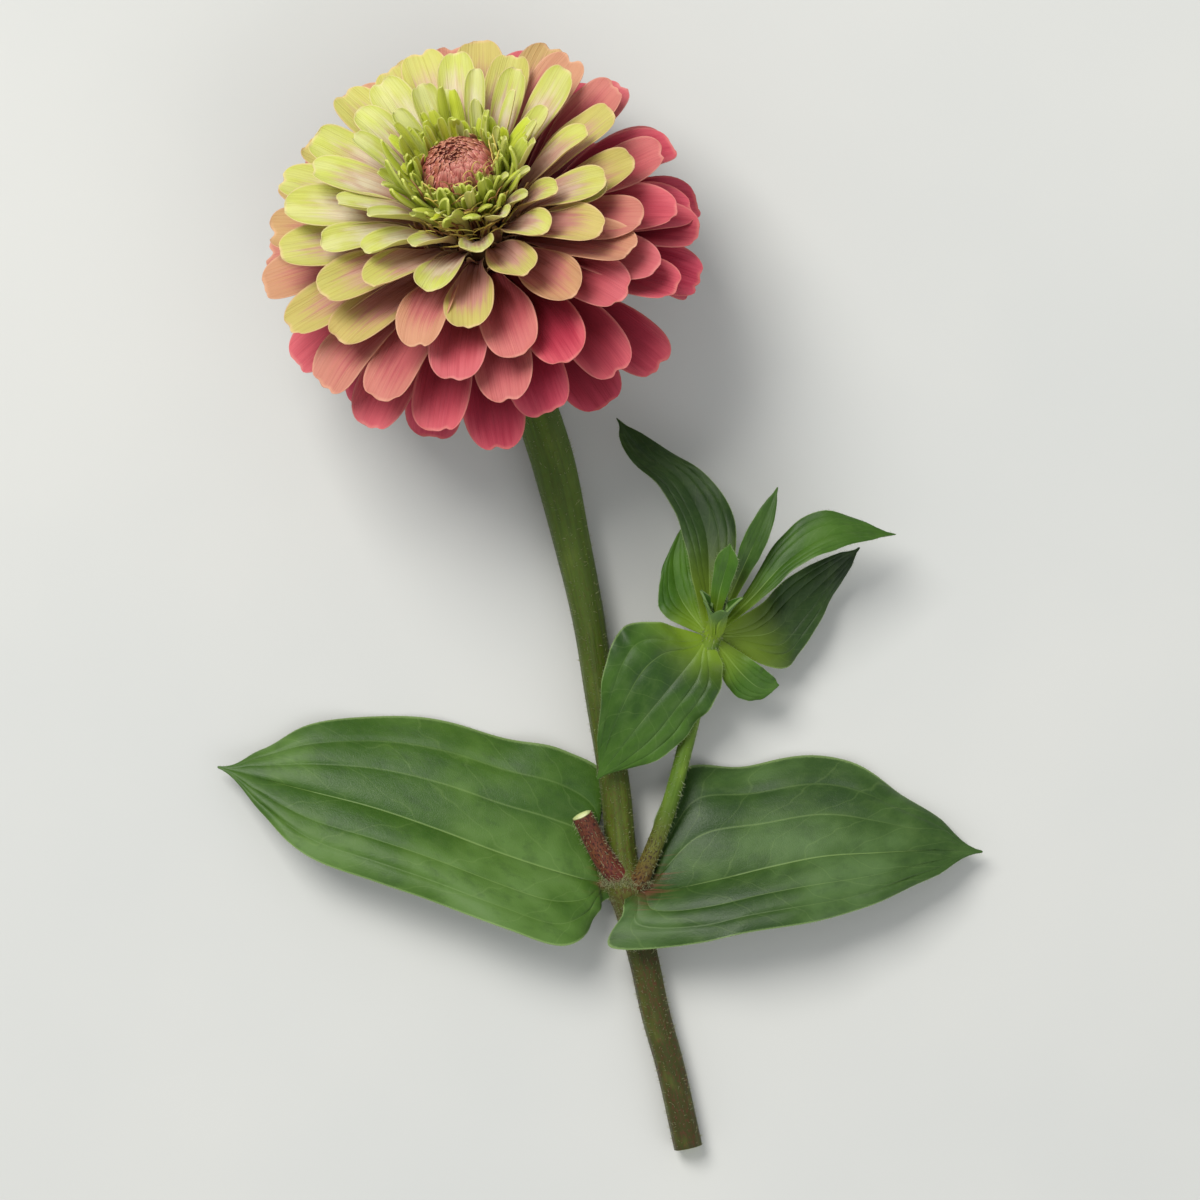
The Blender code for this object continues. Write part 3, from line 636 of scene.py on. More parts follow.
def add_hairs(piece, roots, directions, lengths, radius, chances):
    """Straight tapering hairs, each a slim closed spike with its foot sunk in."""
    directions = unit(directions)
    side = unit(np.cross(directions, (0.31, 0.47, 0.83)))
    rise = np.cross(directions, side)
    feet = roots - directions * HAIR_SUNK
    ring = [feet + radius * (math.cos(a) * side + math.sin(a) * rise) for a in circle(3)]
    tips = roots + directions * lengths[:, None]
    start = np.arange(len(roots))[:, None] * 4
    faces = [start + np.array(corner) for corner in ((0, 1, 3), (1, 2, 3), (2, 0, 3), (0, 2, 1))]
    share = np.tile([0.0, 0.0, 0.0, 1.0], len(roots))
    piece.add(np.stack([*ring, tips], axis=1), faces, along=share, chance=np.repeat(chances, 4))


def srgb(red, green, blue):
    """A colour given as it looks on a screen, from 0 to 255, as the shader's linear one."""
    shares = np.array([red, green, blue]) / 255
    linear = np.where(shares <= 0.04045, shares / 12.92, ((shares + 0.055) / 1.055) ** 2.4)
    return (*linear.tolist(), 1.0)


class Recipe:
    """One material. Most methods add a node or a few and give back the last one's result.

    Its colour is built up in layers: cover and paint lay another colour over it.
    """

    def __init__(self, name):
        self.material = bpy.data.materials.new(name)
        self.material.use_nodes = True
        self.tree = self.material.node_tree
        self.shader = self.tree.nodes["Principled BSDF"]
        self.colour = None

    def node(self, kind, settings=None, **inputs):
        made = self.tree.nodes.new("ShaderNode" + kind)
        for name, setting in (settings or {}).items():
            setattr(made, name, setting)
        for name, source in inputs.items():
            self.feed(made.inputs[name.replace("_", " ")], source)
        return made

    def feed(self, socket, source):
        """Links a node's result to an input, or sets the input to a plain value."""
        if isinstance(source, bpy.types.NodeSocket):
            self.tree.links.new(source, socket)
        else:
            socket.default_value = source

    @functools.cache
    def fact(self, name):
        """A fact of the mesh, by one node, however often it is asked for."""
        return self.node("Attribute", {"attribute_name": name}).outputs["Fac"]

    @functools.cache
    def edge(self):
        """How near the margin is, from 0 in the middle to 1."""
        return self.math("ABSOLUTE", self.fact("across"))

    def math(self, operation, *sources):
        made = self.node("Math", {"operation": operation})
        for socket, source in zip(made.inputs, sources):
            self.feed(socket, source)
        return made.outputs["Value"]

    def add(self, *sources):
        return functools.reduce(lambda total, source: self.math("ADD", total, source), sources)

    def times(self, *sources):
        return functools.reduce(lambda total, source: self.math("MULTIPLY", total, source), sources)

    def less(self, source, taken):
        return self.math("SUBTRACT", source, taken)

    def swing(self, source, size):
        """A source that lies round 0.5, as one that swings round 0."""
        return self.times(self.less(source, 0.5), size)

    def span(self, source, low, high, to_low=0.0, to_high=1.0):
        """Runs smoothly from one value to another while the source goes from low to high."""
        made = self.node("MapRange", {"interpolation_type": "SMOOTHSTEP"})
        for socket, value in zip(made.inputs, (source, low, high, to_low, to_high)):
            self.feed(socket, value)
        return made.outputs["Result"]

    def line(self, source, at, width):
        """1 where the source has one value, falling off smoothly to 0 where it is a width away from it."""
        return self.span(self.math("ABSOLUTE", self.less(source, at)), 0.0, width, 1.0, 0.0)

    def share(self, source, low, high):
        return self.math("DIVIDE", self.less(source, low), high - low)

    def curve(self, source, points):
        """A value that follows straight lines through (source, value) points."""
        made = self.node("FloatCurve")
        low, high = points[0][0], points[-1][0]
        bottom = min(value for _, value in points)
        top = max(value for _, value in points)
        spots = [((at - low) / (high - low), (value - bottom) / (top - bottom)) for at, value in points]
        line = made.mapping.curves[0]
        line.points[0].location = spots[0]
        line.points[1].location = spots[-1]
        for spot in spots[1:-1]:
            line.points.new(*spot)
        for point in line.points:
            point.handle_type = "VECTOR"
        made.mapping.update()
        self.feed(made.inputs["Value"], self.share(source, low, high))
        return self.add(self.times(made.outputs["Value"], top - bottom), bottom)

    def ramp(self, source, colours):
        """A colour that follows the source through (place, red, green, blue) colours."""
        low, high = colours[0][0], colours[-1][0]
        made = self.node("ValToRGB")
        elements = made.color_ramp.elements
        for at, *colour in colours[1:-1]:
            elements.new((at - low) / (high - low)).color = srgb(*colour)
        elements[0].color = srgb(*colours[0][1:])
        elements[-1].color = srgb(*colours[-1][1:])
        self.feed(made.inputs["Fac"], self.share(source, low, high))
        return made.outputs["Color"]

    def mix(self, share, first, second, blend="MIX"):
        made = self.node("Mix", {"data_type": "RGBA", "blend_type": blend})
        for number, source in ((0, share), (6, first), (7, second)):
            self.feed(made.inputs[number], source)
        return made.outputs[2]

    def tones(self, share, first, second):
        """A mix of two plain colours."""
        return self.mix(share, srgb(*first), srgb(*second))

    def cover(self, share, colour, blend="MIX"):
        """Lays a share of another colour over the material's."""
        self.colour = self.mix(share, self.colour, colour, blend)

    def paint(self, share, *plain, blend="MIX"):
        """Lays a share of a plain colour over the material's."""
        self.cover(share, srgb(*plain), blend)

    def grain(self, across, along, layer=0.0):
        """Coordinates in millimetres over the surface, stretched, in a layer of their own."""
        apart = self.node("SeparateXYZ", Vector=self.node("UVMap", {"uv_map": "grain"}).outputs["UV"])
        x = self.times(apart.outputs["X"], GRAIN_MM * across)
        y = self.times(apart.outputs["Y"], GRAIN_MM * along)
        return self.node("CombineXYZ", X=x, Y=y, Z=layer).outputs["Vector"]

    def noise(self, where, scale=1.0, detail=2.0, roughness=0.5, output="Fac"):
        made = self.node("TexNoise", Vector=where, Scale=scale, Detail=detail, Roughness=roughness)
        return made.outputs[output]

    def bump(self, height, depth_mm, strength):
        return self.node("Bump", Height=height, Distance=depth_mm * MM, Strength=strength).outputs["Normal"]

    def finish(self, roughness, normal=None, glow=0.0, **constants):
        """Sets the surface. glow is the share of light that comes through from behind."""
        self.feed(self.shader.inputs["Base Color"], self.colour)
        self.feed(self.shader.inputs["Roughness"], roughness)
        for name, value in constants.items():
            self.shader.inputs[name.replace("_", " ")].default_value = value
        if normal is not None:
            self.feed(self.shader.inputs["Normal"], normal)
        if glow:
            through = self.node("BsdfTranslucent", Color=self.colour)
            if normal is not None:
                self.feed(through.inputs["Normal"], normal)
            both = self.node("MixShader", Fac=glow)
            self.feed(both.inputs[1], self.shader.outputs[0])
            self.feed(both.inputs[2], through.outputs[0])
            self.feed(self.tree.nodes["Material Output"].inputs["Surface"], both.outputs[0])
        return self.material


def petal_material(name):
    """Petal skin by tone: crimson when low, dusty pink with a lime tip above, then cream and lime."""
    r = Recipe(name)
    tone, along, chance = r.fact("tone"), r.fact("along"), r.fact("chance")
    streaks = r.noise(r.grain(1.5, 0.09, r.times(chance, 60.0)), detail=3.0)
    veins = r.noise(r.grain(5.0, 0.05, r.times(chance, 35.0)))
    # The throat: the root's own deeper colour, darkened further with painted shade where the petals above
    # shade it.
    throat_and_shade = r.ramp(tone, PETAL_THROAT_AND_SHADE)
    petal_bands(r, throat_and_shade, r.swing(streaks, r.span(tone, 2.0, 5.0, 0.12, 0.22)))
    shown = r.times(r.span(veins, 0.47, 0.66), r.span(along, 0.15, 1.0, 0.62, 0.22))
    shown = r.times(shown, r.span(tone, 2.0, 5.0, 0.4, 1.0))
    r.cover(shown, r.mix(0.6, r.colour, throat_and_shade), "MULTIPLY")
    # A pale rim along the margins and the tip: partly the margin's own paler colour, partly a painted
    # highlight.
    rim_highlight_starts = r.span(tone, 8.4, 9.6, 0.9, 0.62)
    rim_and_highlight = r.math("MAXIMUM", r.span(r.edge(), rim_highlight_starts, 1.0), r.span(along, 0.975, 1.0))
    r.cover(r.times(rim_and_highlight, 0.75), r.ramp(tone, PETAL_RIM_AND_HIGHLIGHT))
    r.paint(r.span(chance, 0.0, 1.0, 0.0, 0.1), 170, 120, 80, blend="MULTIPLY")
    back = r.mix(r.times(r.line(r.edge(), 0.0, 0.12), 0.5), r.ramp(tone, PETAL_BACK), srgb(128, 150, 52))
    r.cover(r.times(r.fact("under"), 0.8), back)
    height = r.add(r.times(veins, 0.7), r.times(streaks, 0.5))
    skin = {"glow": 0.2, "Specular_IOR_Level": 0.25, "Sheen_Weight": 0.06, "Sheen_Roughness": 0.4}
    return r.finish(r.span(streaks, 0.3, 0.7, 0.48, 0.64), r.bump(height, 0.28, 0.7), **skin)


def petal_bands(r, throat_and_shade, ragged):
    """Lays a petal's colours from root to tip with ragged borders between them, and patches of painted cream
    highlight.
    """
    tone, along, chance, edge = r.fact("tone"), r.fact("along"), r.fact("chance"), r.edge()
    dusty = r.times(r.span(r.math("FRACT", r.times(chance, 7.3)), 0.3, 1.0), r.curve(tone, DUSTY_BY_TONE))
    body = r.mix(dusty, r.ramp(tone, PETAL_BODY), srgb(186, 132, 126))
    outward = r.times(r.math("POWER", edge, 2.0), 0.26)
    opened = r.less(r.add(along, ragged, outward), r.curve(tone, THROAT_AND_SHADE_ENDS))
    # From the root, the throat's colour, partly painted shade, gives way to the body's along the petal.
    r.colour = r.mix(r.span(opened, -0.55, 0.1), throat_and_shade, body)
    clouds = r.noise(r.grain(0.3, 0.13, r.times(chance, 90.0)))
    # Cream patches on the body just before the tip: painted highlights.
    painted_highlight = r.times(r.span(clouds, 0.35, 0.56), r.curve(tone, PAINTED_HIGHLIGHT_BY_TONE))
    painted_highlight = r.times(painted_highlight, r.span(along, 0.35, 0.6), r.span(edge, 0.95, 0.5))
    r.paint(painted_highlight, 252, 246, 218)
    pull = r.times(r.math("POWER", edge, 3.0), 0.3)
    reach = r.less(r.add(along, pull, r.times(ragged, 2.2)), r.curve(tone, TIP_STARTS))
    r.cover(r.span(reach, -0.12, 0.16), r.ramp(tone, PETAL_TIP))
    # The same painted cream highlight again, weaker, over the tip.
    r.paint(r.times(painted_highlight, 0.42), 248, 244, 206)


def leaf_material(name, mature, young):
    """Leaf skin: fine pale veins, a faint net between them, a fuzzy pale margin, and patches of painted
    sheen.
    """
    r = Recipe(name)
    along, tender, edge = r.fact("along"), r.fact("tender"), r.edge()
    grown = r.less(1.0, tender)
    layer = r.times(r.fact("chance"), 70.0)
    clouds = r.noise(r.grain(0.07, 0.05, layer), detail=3.0, roughness=0.55)
    blotches = r.noise(r.grain(0.4, 0.26, layer), detail=4.0, roughness=0.62)
    fuzz = r.noise(r.grain(6.0, 6.0, layer))
    cell = leaf_cells(r, layer)
    clouded = r.span(clouds, 0.34, 0.66)
    r.colour = r.mix(r.fact("fresh"), r.tones(clouded, *mature), r.tones(clouded, *young))
    r.paint(r.span(blotches, 0.46, 0.74, 0.0, 0.22), 88, 114, 54)
    # Pale bluish-grey patches on grown leaves: a painted sheen, the sky's reflection painted into the colour.
    r.paint(r.times(r.span(clouds, 0.46, 0.72, 0.0, 0.28), grown), 104, 132, 86)
    r.paint(r.span(blotches, 0.5, 0.28, 0.0, 0.3), 30, 56, 16)
    r.paint(r.times(r.less(1.0, cell), 0.04), 100, 130, 62)
    r.paint(r.times(leaf_veins(r, clouds), 0.5), 136, 162, 92)
    flush = r.span(r.add(along, r.swing(r.noise(r.grain(2.2, 0.12, layer)), -0.4)), 0.24, 0.06)
    r.paint(r.times(flush, r.span(edge, 0.95, 0.2), grown, 0.75), 136, 66, 62)
    r.paint(r.times(r.span(r.add(edge, r.swing(fuzz, 0.03)), 0.968, 0.992), 0.5), 142, 166, 104)
    r.paint(r.times(r.fact("under"), 0.5), 104, 130, 78)
    r.paint(r.times(tender, r.span(along, r.times(tender, 0.42), 0.0), 0.8), 124, 152, 30)
    height = r.add(r.times(cell, 0.04), r.times(fuzz, 0.3), r.times(blotches, 0.5))
    skin = {"glow": 0.1, "Specular_IOR_Level": 0.3, "Sheen_Weight": 0.06, "Sheen_Roughness": 0.5}
    return r.finish(r.span(clouds, 0.3, 0.7, 0.38, 0.5), r.bump(height, 0.28, 0.5), **skin)


def leaf_cells(r, layer):
    """The fine net of a leaf: 0 on its lines, and 1 in the cells between them."""
    bent = r.node("VectorMath", {"operation": "ADD"})
    r.feed(bent.inputs[0], r.grain(0.5, 0.34, layer))
    r.feed(bent.inputs[1], r.noise(r.grain(0.3, 0.3, layer), output="Color"))
    net = r.node("TexVoronoi", {"feature": "DISTANCE_TO_EDGE"}, Vector=bent.outputs["Vector"], Scale=1.0)
    return r.span(net.outputs["Distance"], 0.0, 0.1)


def leaf_veins(r, bending):
    """1 on the midrib, less on the side veins, and least on thin branches at an acute angle to the midrib."""
    along, edge = r.fact("along"), r.edge()
    veins = r.line(edge, 0.0, 0.022)
    for number, at in enumerate(SIDE_VEINS):
        vein = r.times(r.line(edge, at, 0.014), 0.5 - 0.2 * number, r.span(along, 0.95, 0.55))
        veins = r.math("MAXIMUM", veins, vein)
    run = r.add(r.less(r.times(along, 9.0), r.times(edge, 2.6)), r.times(bending, 2.2))
    return r.math("MAXIMUM", veins, r.times(r.line(r.math("FRACT", run), 0.5, 0.035), 0.2))


def stem_material(name):
    """Stem skin: fresh green at the neck, olive below it, brown and speckled under the node."""
    r = Recipe(name)
    along, red, cut = r.fact("along"), r.fact("red"), r.fact("cut")
    ridges = r.noise(r.grain(1.4, 0.07))
    speckles = r.noise(r.grain(2.2, 1.0), detail=3.0, roughness=0.65)
    patches = r.noise(r.grain(0.25, 0.12))
    r.colour = r.ramp(along, STEM_COLOURS)
    r.paint(r.times(r.span(speckles, 0.49, 0.61), r.span(along, 0.3, 0.85, 0.12, 0.8)), 80, 40, 24)
    r.paint(r.times(r.span(patches, 0.45, 0.7), 0.35), 96, 112, 40)
    r.paint(r.span(ridges, 0.4, 0.62, 0.0, 0.35), 46, 58, 16)
    r.cover(r.fact("fresh"), r.tones(r.span(patches, 0.4, 0.7), (76, 104, 22), (104, 130, 40)))
    r.paint(r.fact("tender"), 120, 146, 34)
    r.cover(red, r.tones(r.span(speckles, 0.4, 0.7), (104, 28, 36), (112, 64, 38)))
    flecks = r.span(r.noise(r.grain(3.2, 1.6), detail=3.0, roughness=0.6), 0.5, 0.6)
    r.paint(r.times(flecks, r.span(red, 0.05, 0.3), r.span(red, 1.0, 0.8, 0.15, 0.9)), 44, 20, 14)
    r.cover(r.span(cut, 0.02, 0.12), r.ramp(cut, CUT_COLOURS))
    height = r.add(r.times(ridges, 0.9), r.times(speckles, 0.5))
    skin = {"Specular_IOR_Level": 0.25, "Sheen_Weight": 0.04, "Sheen_Roughness": 0.5}
    return r.finish(r.span(speckles, 0.3, 0.7, 0.42, 0.62), r.bump(height, 0.25, 0.6), **skin)


def scale_material(name, colours, glow, front_colours=None):
    """Small dry scales: one colour ramp from root to tip, or two of them by the fact front, with streaks."""
    r = Recipe(name)
    chance = r.fact("chance")
    streaks = r.noise(r.grain(6.0, 0.6, r.times(chance, 50.0)))
    at = r.add(r.fact("along"), r.swing(streaks, 0.3))
    r.colour = r.ramp(at, colours)
    if front_colours:
        r.cover(r.span(r.fact("front"), 0.2, 0.8), r.ramp(at, front_colours))
    r.paint(r.span(chance, 0.0, 1.0, 0.0, 0.35), 150, 96, 70, blend="MULTIPLY")
    skin = {"glow": glow, "Specular_IOR_Level": 0.3, "Sheen_Weight": 0.1}
    return r.finish(r.span(streaks, 0.3, 0.7, 0.5, 0.68), r.bump(streaks, 0.12, 0.6), **skin)


def bract_material(name):
    """Green bracts with a dark fringed edge."""
    r = Recipe(name)
    streaks = r.noise(r.grain(2.4, 0.3, r.times(r.fact("chance"), 50.0)), detail=3.0)
    r.colour = r.tones(r.span(streaks, 0.35, 0.7), (70, 104, 34), (122, 152, 70))
    fringe = r.math("MAXIMUM", r.span(r.edge(), 0.72, 0.95), r.span(r.fact("along"), 0.74, 0.96))
    r.paint(r.span(r.add(fringe, r.swing(streaks, 0.9)), 0.35, 0.75), 40, 28, 16)
    skin = {"Specular_IOR_Level": 0.4, "Sheen_Weight": 0.1}
    return r.finish(r.span(streaks, 0.3, 0.7, 0.42, 0.6), r.bump(streaks, 0.2, 0.5), **skin)


def style_material(name):
    """Yellow threads, some of them dry and brown."""
    r = Recipe(name)
    chance = r.fact("chance")
    streaks = r.noise(r.node("TexCoord").outputs["Object"], scale=900.0)
    r.colour = r.tones(chance, (206, 196, 84), (222, 172, 104))
    r.paint(r.span(streaks, 0.4, 0.7, 0.0, 0.4), 232, 206, 120)
    r.paint(r.times(r.span(chance, 0.6, 0.75), 0.8), 128, 70, 36)
    return r.finish(0.5, r.bump(streaks, 0.05, 0.5), glow=0.2, Sheen_Weight=0.1)


def hair_material(name, root_colour, tip_colour):
    """Fine pale hairs."""
    r = Recipe(name)
    r.colour = r.tones(r.fact("along"), root_colour, tip_colour)
    r.paint(r.span(r.fact("chance"), 0.0, 1.0, 0.0, 0.3), 170, 160, 120)
    return r.finish(0.5, glow=0.25, Sheen_Weight=0.2)


def floor_material(name):
    """Pale paper with a trace of mottling."""
    r = Recipe(name)
    mottling = r.noise(r.node("TexCoord").outputs["Object"], scale=9.0, detail=4.0)
    r.colour = r.tones(r.span(mottling, 0.3, 0.7), (194, 195, 192), (199, 199, 195))
    return r.finish(0.7, Specular_IOR_Level=0.2)


def petal_draws(first, last):
    """The whorl, age and small irregularities of every petal of some whorls, in the order they grew."""
    random = np.random.default_rng(PETAL_SEED)
    for number in range(first * PETALS_IN_WHORL, last * PETALS_IN_WHORL):
        whorl = number // PETALS_IN_WHORL
        age = min(number / PETALS_IN_WHORL, WHORLS - 1)
        draw = {name: size * random.uniform(-1, 1) for name, size in JITTER.items()}
        draw["azimuth"] = FIRST_AZIMUTH + GOLDEN_ANGLE * number + math.radians(draw["azimuth"])
        yield number, whorl, age, draw


def filler_draws(first, last):
    """The petals that fill gaps, in the same form as the others."""
    for number, (age, azimuth) in enumerate(FILLERS, FIRST_FILLER):
        if first <= age < last:
            yield number, age, age, {**dict.fromkeys(JITTER, 0.0), "azimuth": math.radians(azimuth)}


def petal_quirks(number, age):
    """How one petal differs from its neighbours in its waves and its tip."""
    random = np.random.default_rng([QUIRK_SEED, number])
    return {
        "notches": [
            (random.uniform(-0.5, 0.0), random.uniform(0, NOTCH_DEPTH)),
            (random.uniform(0.0, 0.5), random.uniform(0, NOTCH_DEPTH)),
        ],
        "power": random.uniform(*TIP_POWER) + YOUNG_SQUARER * smooth((age - 7) / 2),
        "waves": random.uniform(0.8, 1.5),
        "wave_left": random.uniform(0, 1),
        "wave_right": random.uniform(0, 1),
        "flip": random.uniform(-1, 0.7),
        "chance": random.uniform(0, 1),
        "lean": random.uniform(*YOUNG_LEAN),
        "twist": random.uniform(-YOUNG_TWIST, YOUNG_TWIST),
        "width": random.uniform(*YOUNG_WIDTH),
        "longer": random.uniform(*YOUNG_LENGTH),
    }


def loosened(draw, quirk, age):
    """A petal's draw with some twist, and its width's share. Young ones lean, twist more and are slimmer."""
    young = smooth((age - YOUNG_FROM) / 2)
    loose = dict(draw)
    loose["rise"] += young * quirk["lean"]
    loose["roll"] += (GROWN_TWIST + (1 - GROWN_TWIST) * young) * quirk["twist"]
    loose["length"] += young * quirk["longer"]
    return loose, 1 - young * (1 - quirk["width"])


def petal_half_width(u, width, power):
    """Half the petal's width from root to tip: a narrow claw, widest past the middle, and a rounded tip."""
    claw = max(CLAW_SHARE, NARROWEST_CLAW / width)
    opening = claw + (1 - claw) * smooth((u - CLAW_END) / (WIDEST_AT - CLAW_END))
    past = TIP_REACH * np.clip((u - WIDEST_AT) / (1 - WIDEST_AT), 0, 1)
    return width / 2 * opening * (1 - past**power) ** (1 / power)


def petal_relief(u, v, quirk):
    """How far a petal's surface stands out: two furrows, wavy margins, and a tip that turns up or down."""
    edge = np.abs(v)
    furrows = hump(edge - FURROW_AT, FURROW_WIDTH) * smooth(u / 0.3) * (1 - 0.8 * smooth((u - 0.6) / 0.4))
    turns = np.where(v > 0, quirk["wave_right"], quirk["wave_left"])
    wave = np.sin(2 * math.pi * (quirk["waves"] * u + turns)) * edge**3 * smooth(u / 0.4)
    flip = quirk["flip"] * smooth((u - 0.72) / 0.28) ** 2
    return MARGIN_WAVE * wave * (1 - 0.6 * u**6) - FURROW_DEPTH * furrows + TIP_FLIP * flip


def petal_surface(u, v, age, whorl, draw, quirk, slimmer):
    """The petal's middle surface in the head's frame. u runs from root to tip, and v from edge to edge.

    It leaves the column at one angle and reaches its tip at another, along an arc. Across, it is a gutter
    that is deepest at the root, with two furrows, wavy margins and a notched tip.
    """
    rise = math.radians(at_whorl(RISE_AT_ROOT, age) + draw["rise"])
    bend = math.radians(at_whorl(RISE_AT_TIP, age) + 1.5 * draw["rise"]) - rise
    length = at_whorl(PETAL_LENGTH, age) * (1 + draw["length"]) + ROOT_SUNK
    width = at_whorl(PETAL_WIDTH, age) * slimmer
    half = petal_half_width(u, width, quirk["power"])
    notches = sum(depth * hump(2 * half * v / width - at, NOTCH_WIDTH) for at, depth in quirk["notches"])
    slope = rise + bend * (u - notches * smooth((u - 0.8) / 0.2))
    out = column_radius(whorl) - ROOT_SUNK * math.cos(rise) + length * (np.sin(slope) - math.sin(rise)) / bend
    up = root_height(whorl) - ROOT_SUNK * math.sin(rise) + length * (math.cos(rise) - np.cos(slope)) / bend

    curl = at_whorl(CURL_AT_TIP, age)
    curl = curl + (at_whorl(CURL_AT_ROOT, age) - curl) * (1 - u) ** 2
    across = half * np.sin(curl * v) / curl
    lift = half * (1 - np.cos(curl * v)) / curl
    lift = lift + width / PETAL_WIDTH[0] * petal_relief(u, v, quirk)

    roll = math.radians(draw["roll"]) * u
    across, lift = across * np.cos(roll) - lift * np.sin(roll), across * np.sin(roll) + lift * np.cos(roll)
    out, up = out - lift * np.sin(slope), up + lift * np.cos(slope)
    side = across + draw["sway"] * length * u**2
    outward, sideward = around(draw["azimuth"])
    return out[..., None] * outward + side[..., None] * sideward + up[..., None] * UP


def pressed(points, age):
    """Petals that reach the floor bend out along it, each on the ones that grew before it."""
    lowest = PRESSED_THICKNESS / 2 + age * PRESSED_LAYER
    depth = np.maximum(lowest - points[..., 2:], 0)
    away = unit(points * (1, 1, 0))
    return points + depth * (away * PRESSED_SPREAD + (0, 0, 1))


def petals(name, first, last, node, slot):
    """Some whorls of petals as one piece, in the places of the solid's petals."""
    piece = Piece(name)
    u, v = eased(0, 1, PETAL_ROWS), eased(-1, 1, PETAL_COLUMNS)
    skin = PETAL_SKIN * (1 - 0.6 * v**4) * (1 - 0.5 * u[:, None] ** 8)
    for number, whorl, age, draw in [*petal_draws(first, last), *filler_draws(first, last)]:
        quirk = petal_quirks(number, age)
        draw, slimmer = loosened(draw, quirk, age)
        grid = petal_surface(u[:, None], v, age, whorl, draw, quirk, slimmer)
        azimuth = draw["azimuth"]
        # The side term lowers the tone on the right: painted shade, as darker crimson there.
        tone = age + TONE_SWING * math.cos(azimuth) + PAINTED_SHADE_BY_SIDE * math.sin(azimuth)
        tone = tone + TONE_CHANCE * (quirk["chance"] - 0.5)
        add_blade(piece, pressed(from_head(grid), age), skin, u, v, tone=tone, chance=quirk["chance"])
    piece.make(petal_material(name), slot, [node])


def head_core():
    """The solid middle of the head, dark between the petals' claws, with its top under the disc."""
    piece = Piece("head_core")
    heights = np.linspace(*CORE_HEIGHTS, CORE_ROWS)
    column = [(column_radius((z - LOWEST_ROOT) / WHORL_STEP) - 0.4, z) for z in heights]
    add_turned(piece, [*column, *CORE_TOP])
    colours = ((0.0, 70, 62, 24), (0.5, 88, 50, 24), (0.8, 176, 100, 82), (1.0, 188, 110, 94))
    piece.make(scale_material("head_core", colours, 0.0))


def tongue(root, out, up, length, half_width, lean, curl, u, v):
    """A small curved blade as a grid: it stands on its root and leans over from up towards out."""
    bend = lean * u[:, None]
    curled = curl * v
    forward = length * (1 - np.cos(bend)) / lean
    rise = length * np.sin(bend) / lean
    across = half_width[:, None] * np.sin(curled) / curl
    dent = half_width[:, None] * (1 - np.cos(curled)) / curl
    face = np.cos(bend)[..., None] * out - np.sin(bend)[..., None] * up
    middle = root + forward[..., None] * out + rise[..., None] * up
    return middle + across[..., None] * np.cross(up, out) - dent[..., None] * face


def chaff():
    """Dry brown scales that stand between the petals, one above each of them."""
    piece = Piece("chaff")
    random = np.random.default_rng(CHAFF_SEED)
    u, v = np.linspace(0, 1, 8), np.linspace(-1, 1, 5)
    half = CHAFF_WIDTH / 2 * (0.8 + 0.3 * np.sin(math.pi * u)) * np.sqrt(1 - (0.94 * u) ** 6)
    for number in range(CHAFF_FIRST_WHORL * PETALS_IN_WHORL, (WHORLS - 1) * PETALS_IN_WHORL):
        whorl = number / PETALS_IN_WHORL
        out, _ = around(FIRST_AZIMUTH + GOLDEN_ANGLE * number + random.uniform(-0.2, 0.2))
        root = out * (column_radius(whorl) - 0.6) + UP * (root_height(whorl) + 1.0)
        rise = math.radians(at_whorl(RISE_AT_ROOT, whorl) + 18)
        ahead = out * max(math.cos(rise), 0) + UP * math.sin(rise)
        back = UP * math.cos(rise) - out * math.sin(rise)
        length = CHAFF_LENGTH * random.uniform(0.75, 1.1) * (1 - 0.3 * smooth((whorl - 7) / 3))
        grid = tongue(root, back, ahead, length, half, random.uniform(0.2, 0.7), 1.0, u, v)
        add_blade(piece, from_head(grid), CHAFF_SKIN, u, v, chance=random.uniform(0, 1))
    colours = ((0.0, 100, 60, 32), (0.45, 152, 100, 66), (0.8, 190, 134, 96), (1.0, 210, 176, 112))
    piece.make(scale_material("chaff", colours, 0.15))


def styles():
    """Thin curly yellow threads at the petals' roots. Each forks into two arms that roll back."""
    piece = Piece("styles")
    random = np.random.default_rng(STYLE_SEED)
    steps = np.linspace(0, 1, 9)
    radii = STYLE_RADIUS * (1 - 0.25 * steps)
    for _ in range(STYLE_COUNT):
        whorl = random.uniform(*STYLE_WHORLS)
        out, side = around(math.pi + random.normal(0, STYLE_SPREAD))
        rise = math.radians(at_whorl(RISE_AT_ROOT, whorl) + random.uniform(6, 34))
        ahead = out * math.cos(rise) + UP * math.sin(rise)
        length = STYLE_LENGTH * random.uniform(0.7, 1.25)
        root = out * (column_radius(whorl) - 0.3) + UP * (root_height(whorl) + 1.2)
        bow = random.uniform(-1.6, 1.6) * side + random.uniform(-0.8, 1.2) * UP
        path = root + ahead * (steps * length)[:, None] + bow * (steps**2)[:, None]
        chance = random.uniform(0, 1)
        add_thread(piece, path, radii, chance=chance)
        heading = unit(path[-1] - path[-2])
        for sign in (-1, 1):
            bend = unit(sign * side + random.uniform(-0.5, 0.5) * UP)
            spin = (steps * random.uniform(2.2, 4.2))[:, None]
            reach = STYLE_ARM * random.uniform(0.7, 1.2) / spin[-1]
            arm = path[-1] + reach * (np.sin(spin) * heading + (1 - np.cos(spin)) * bend)
            add_thread(piece, arm, radii * 0.8 * (1 - 0.5 * steps), chance=chance)
    piece.make(style_material("styles"))


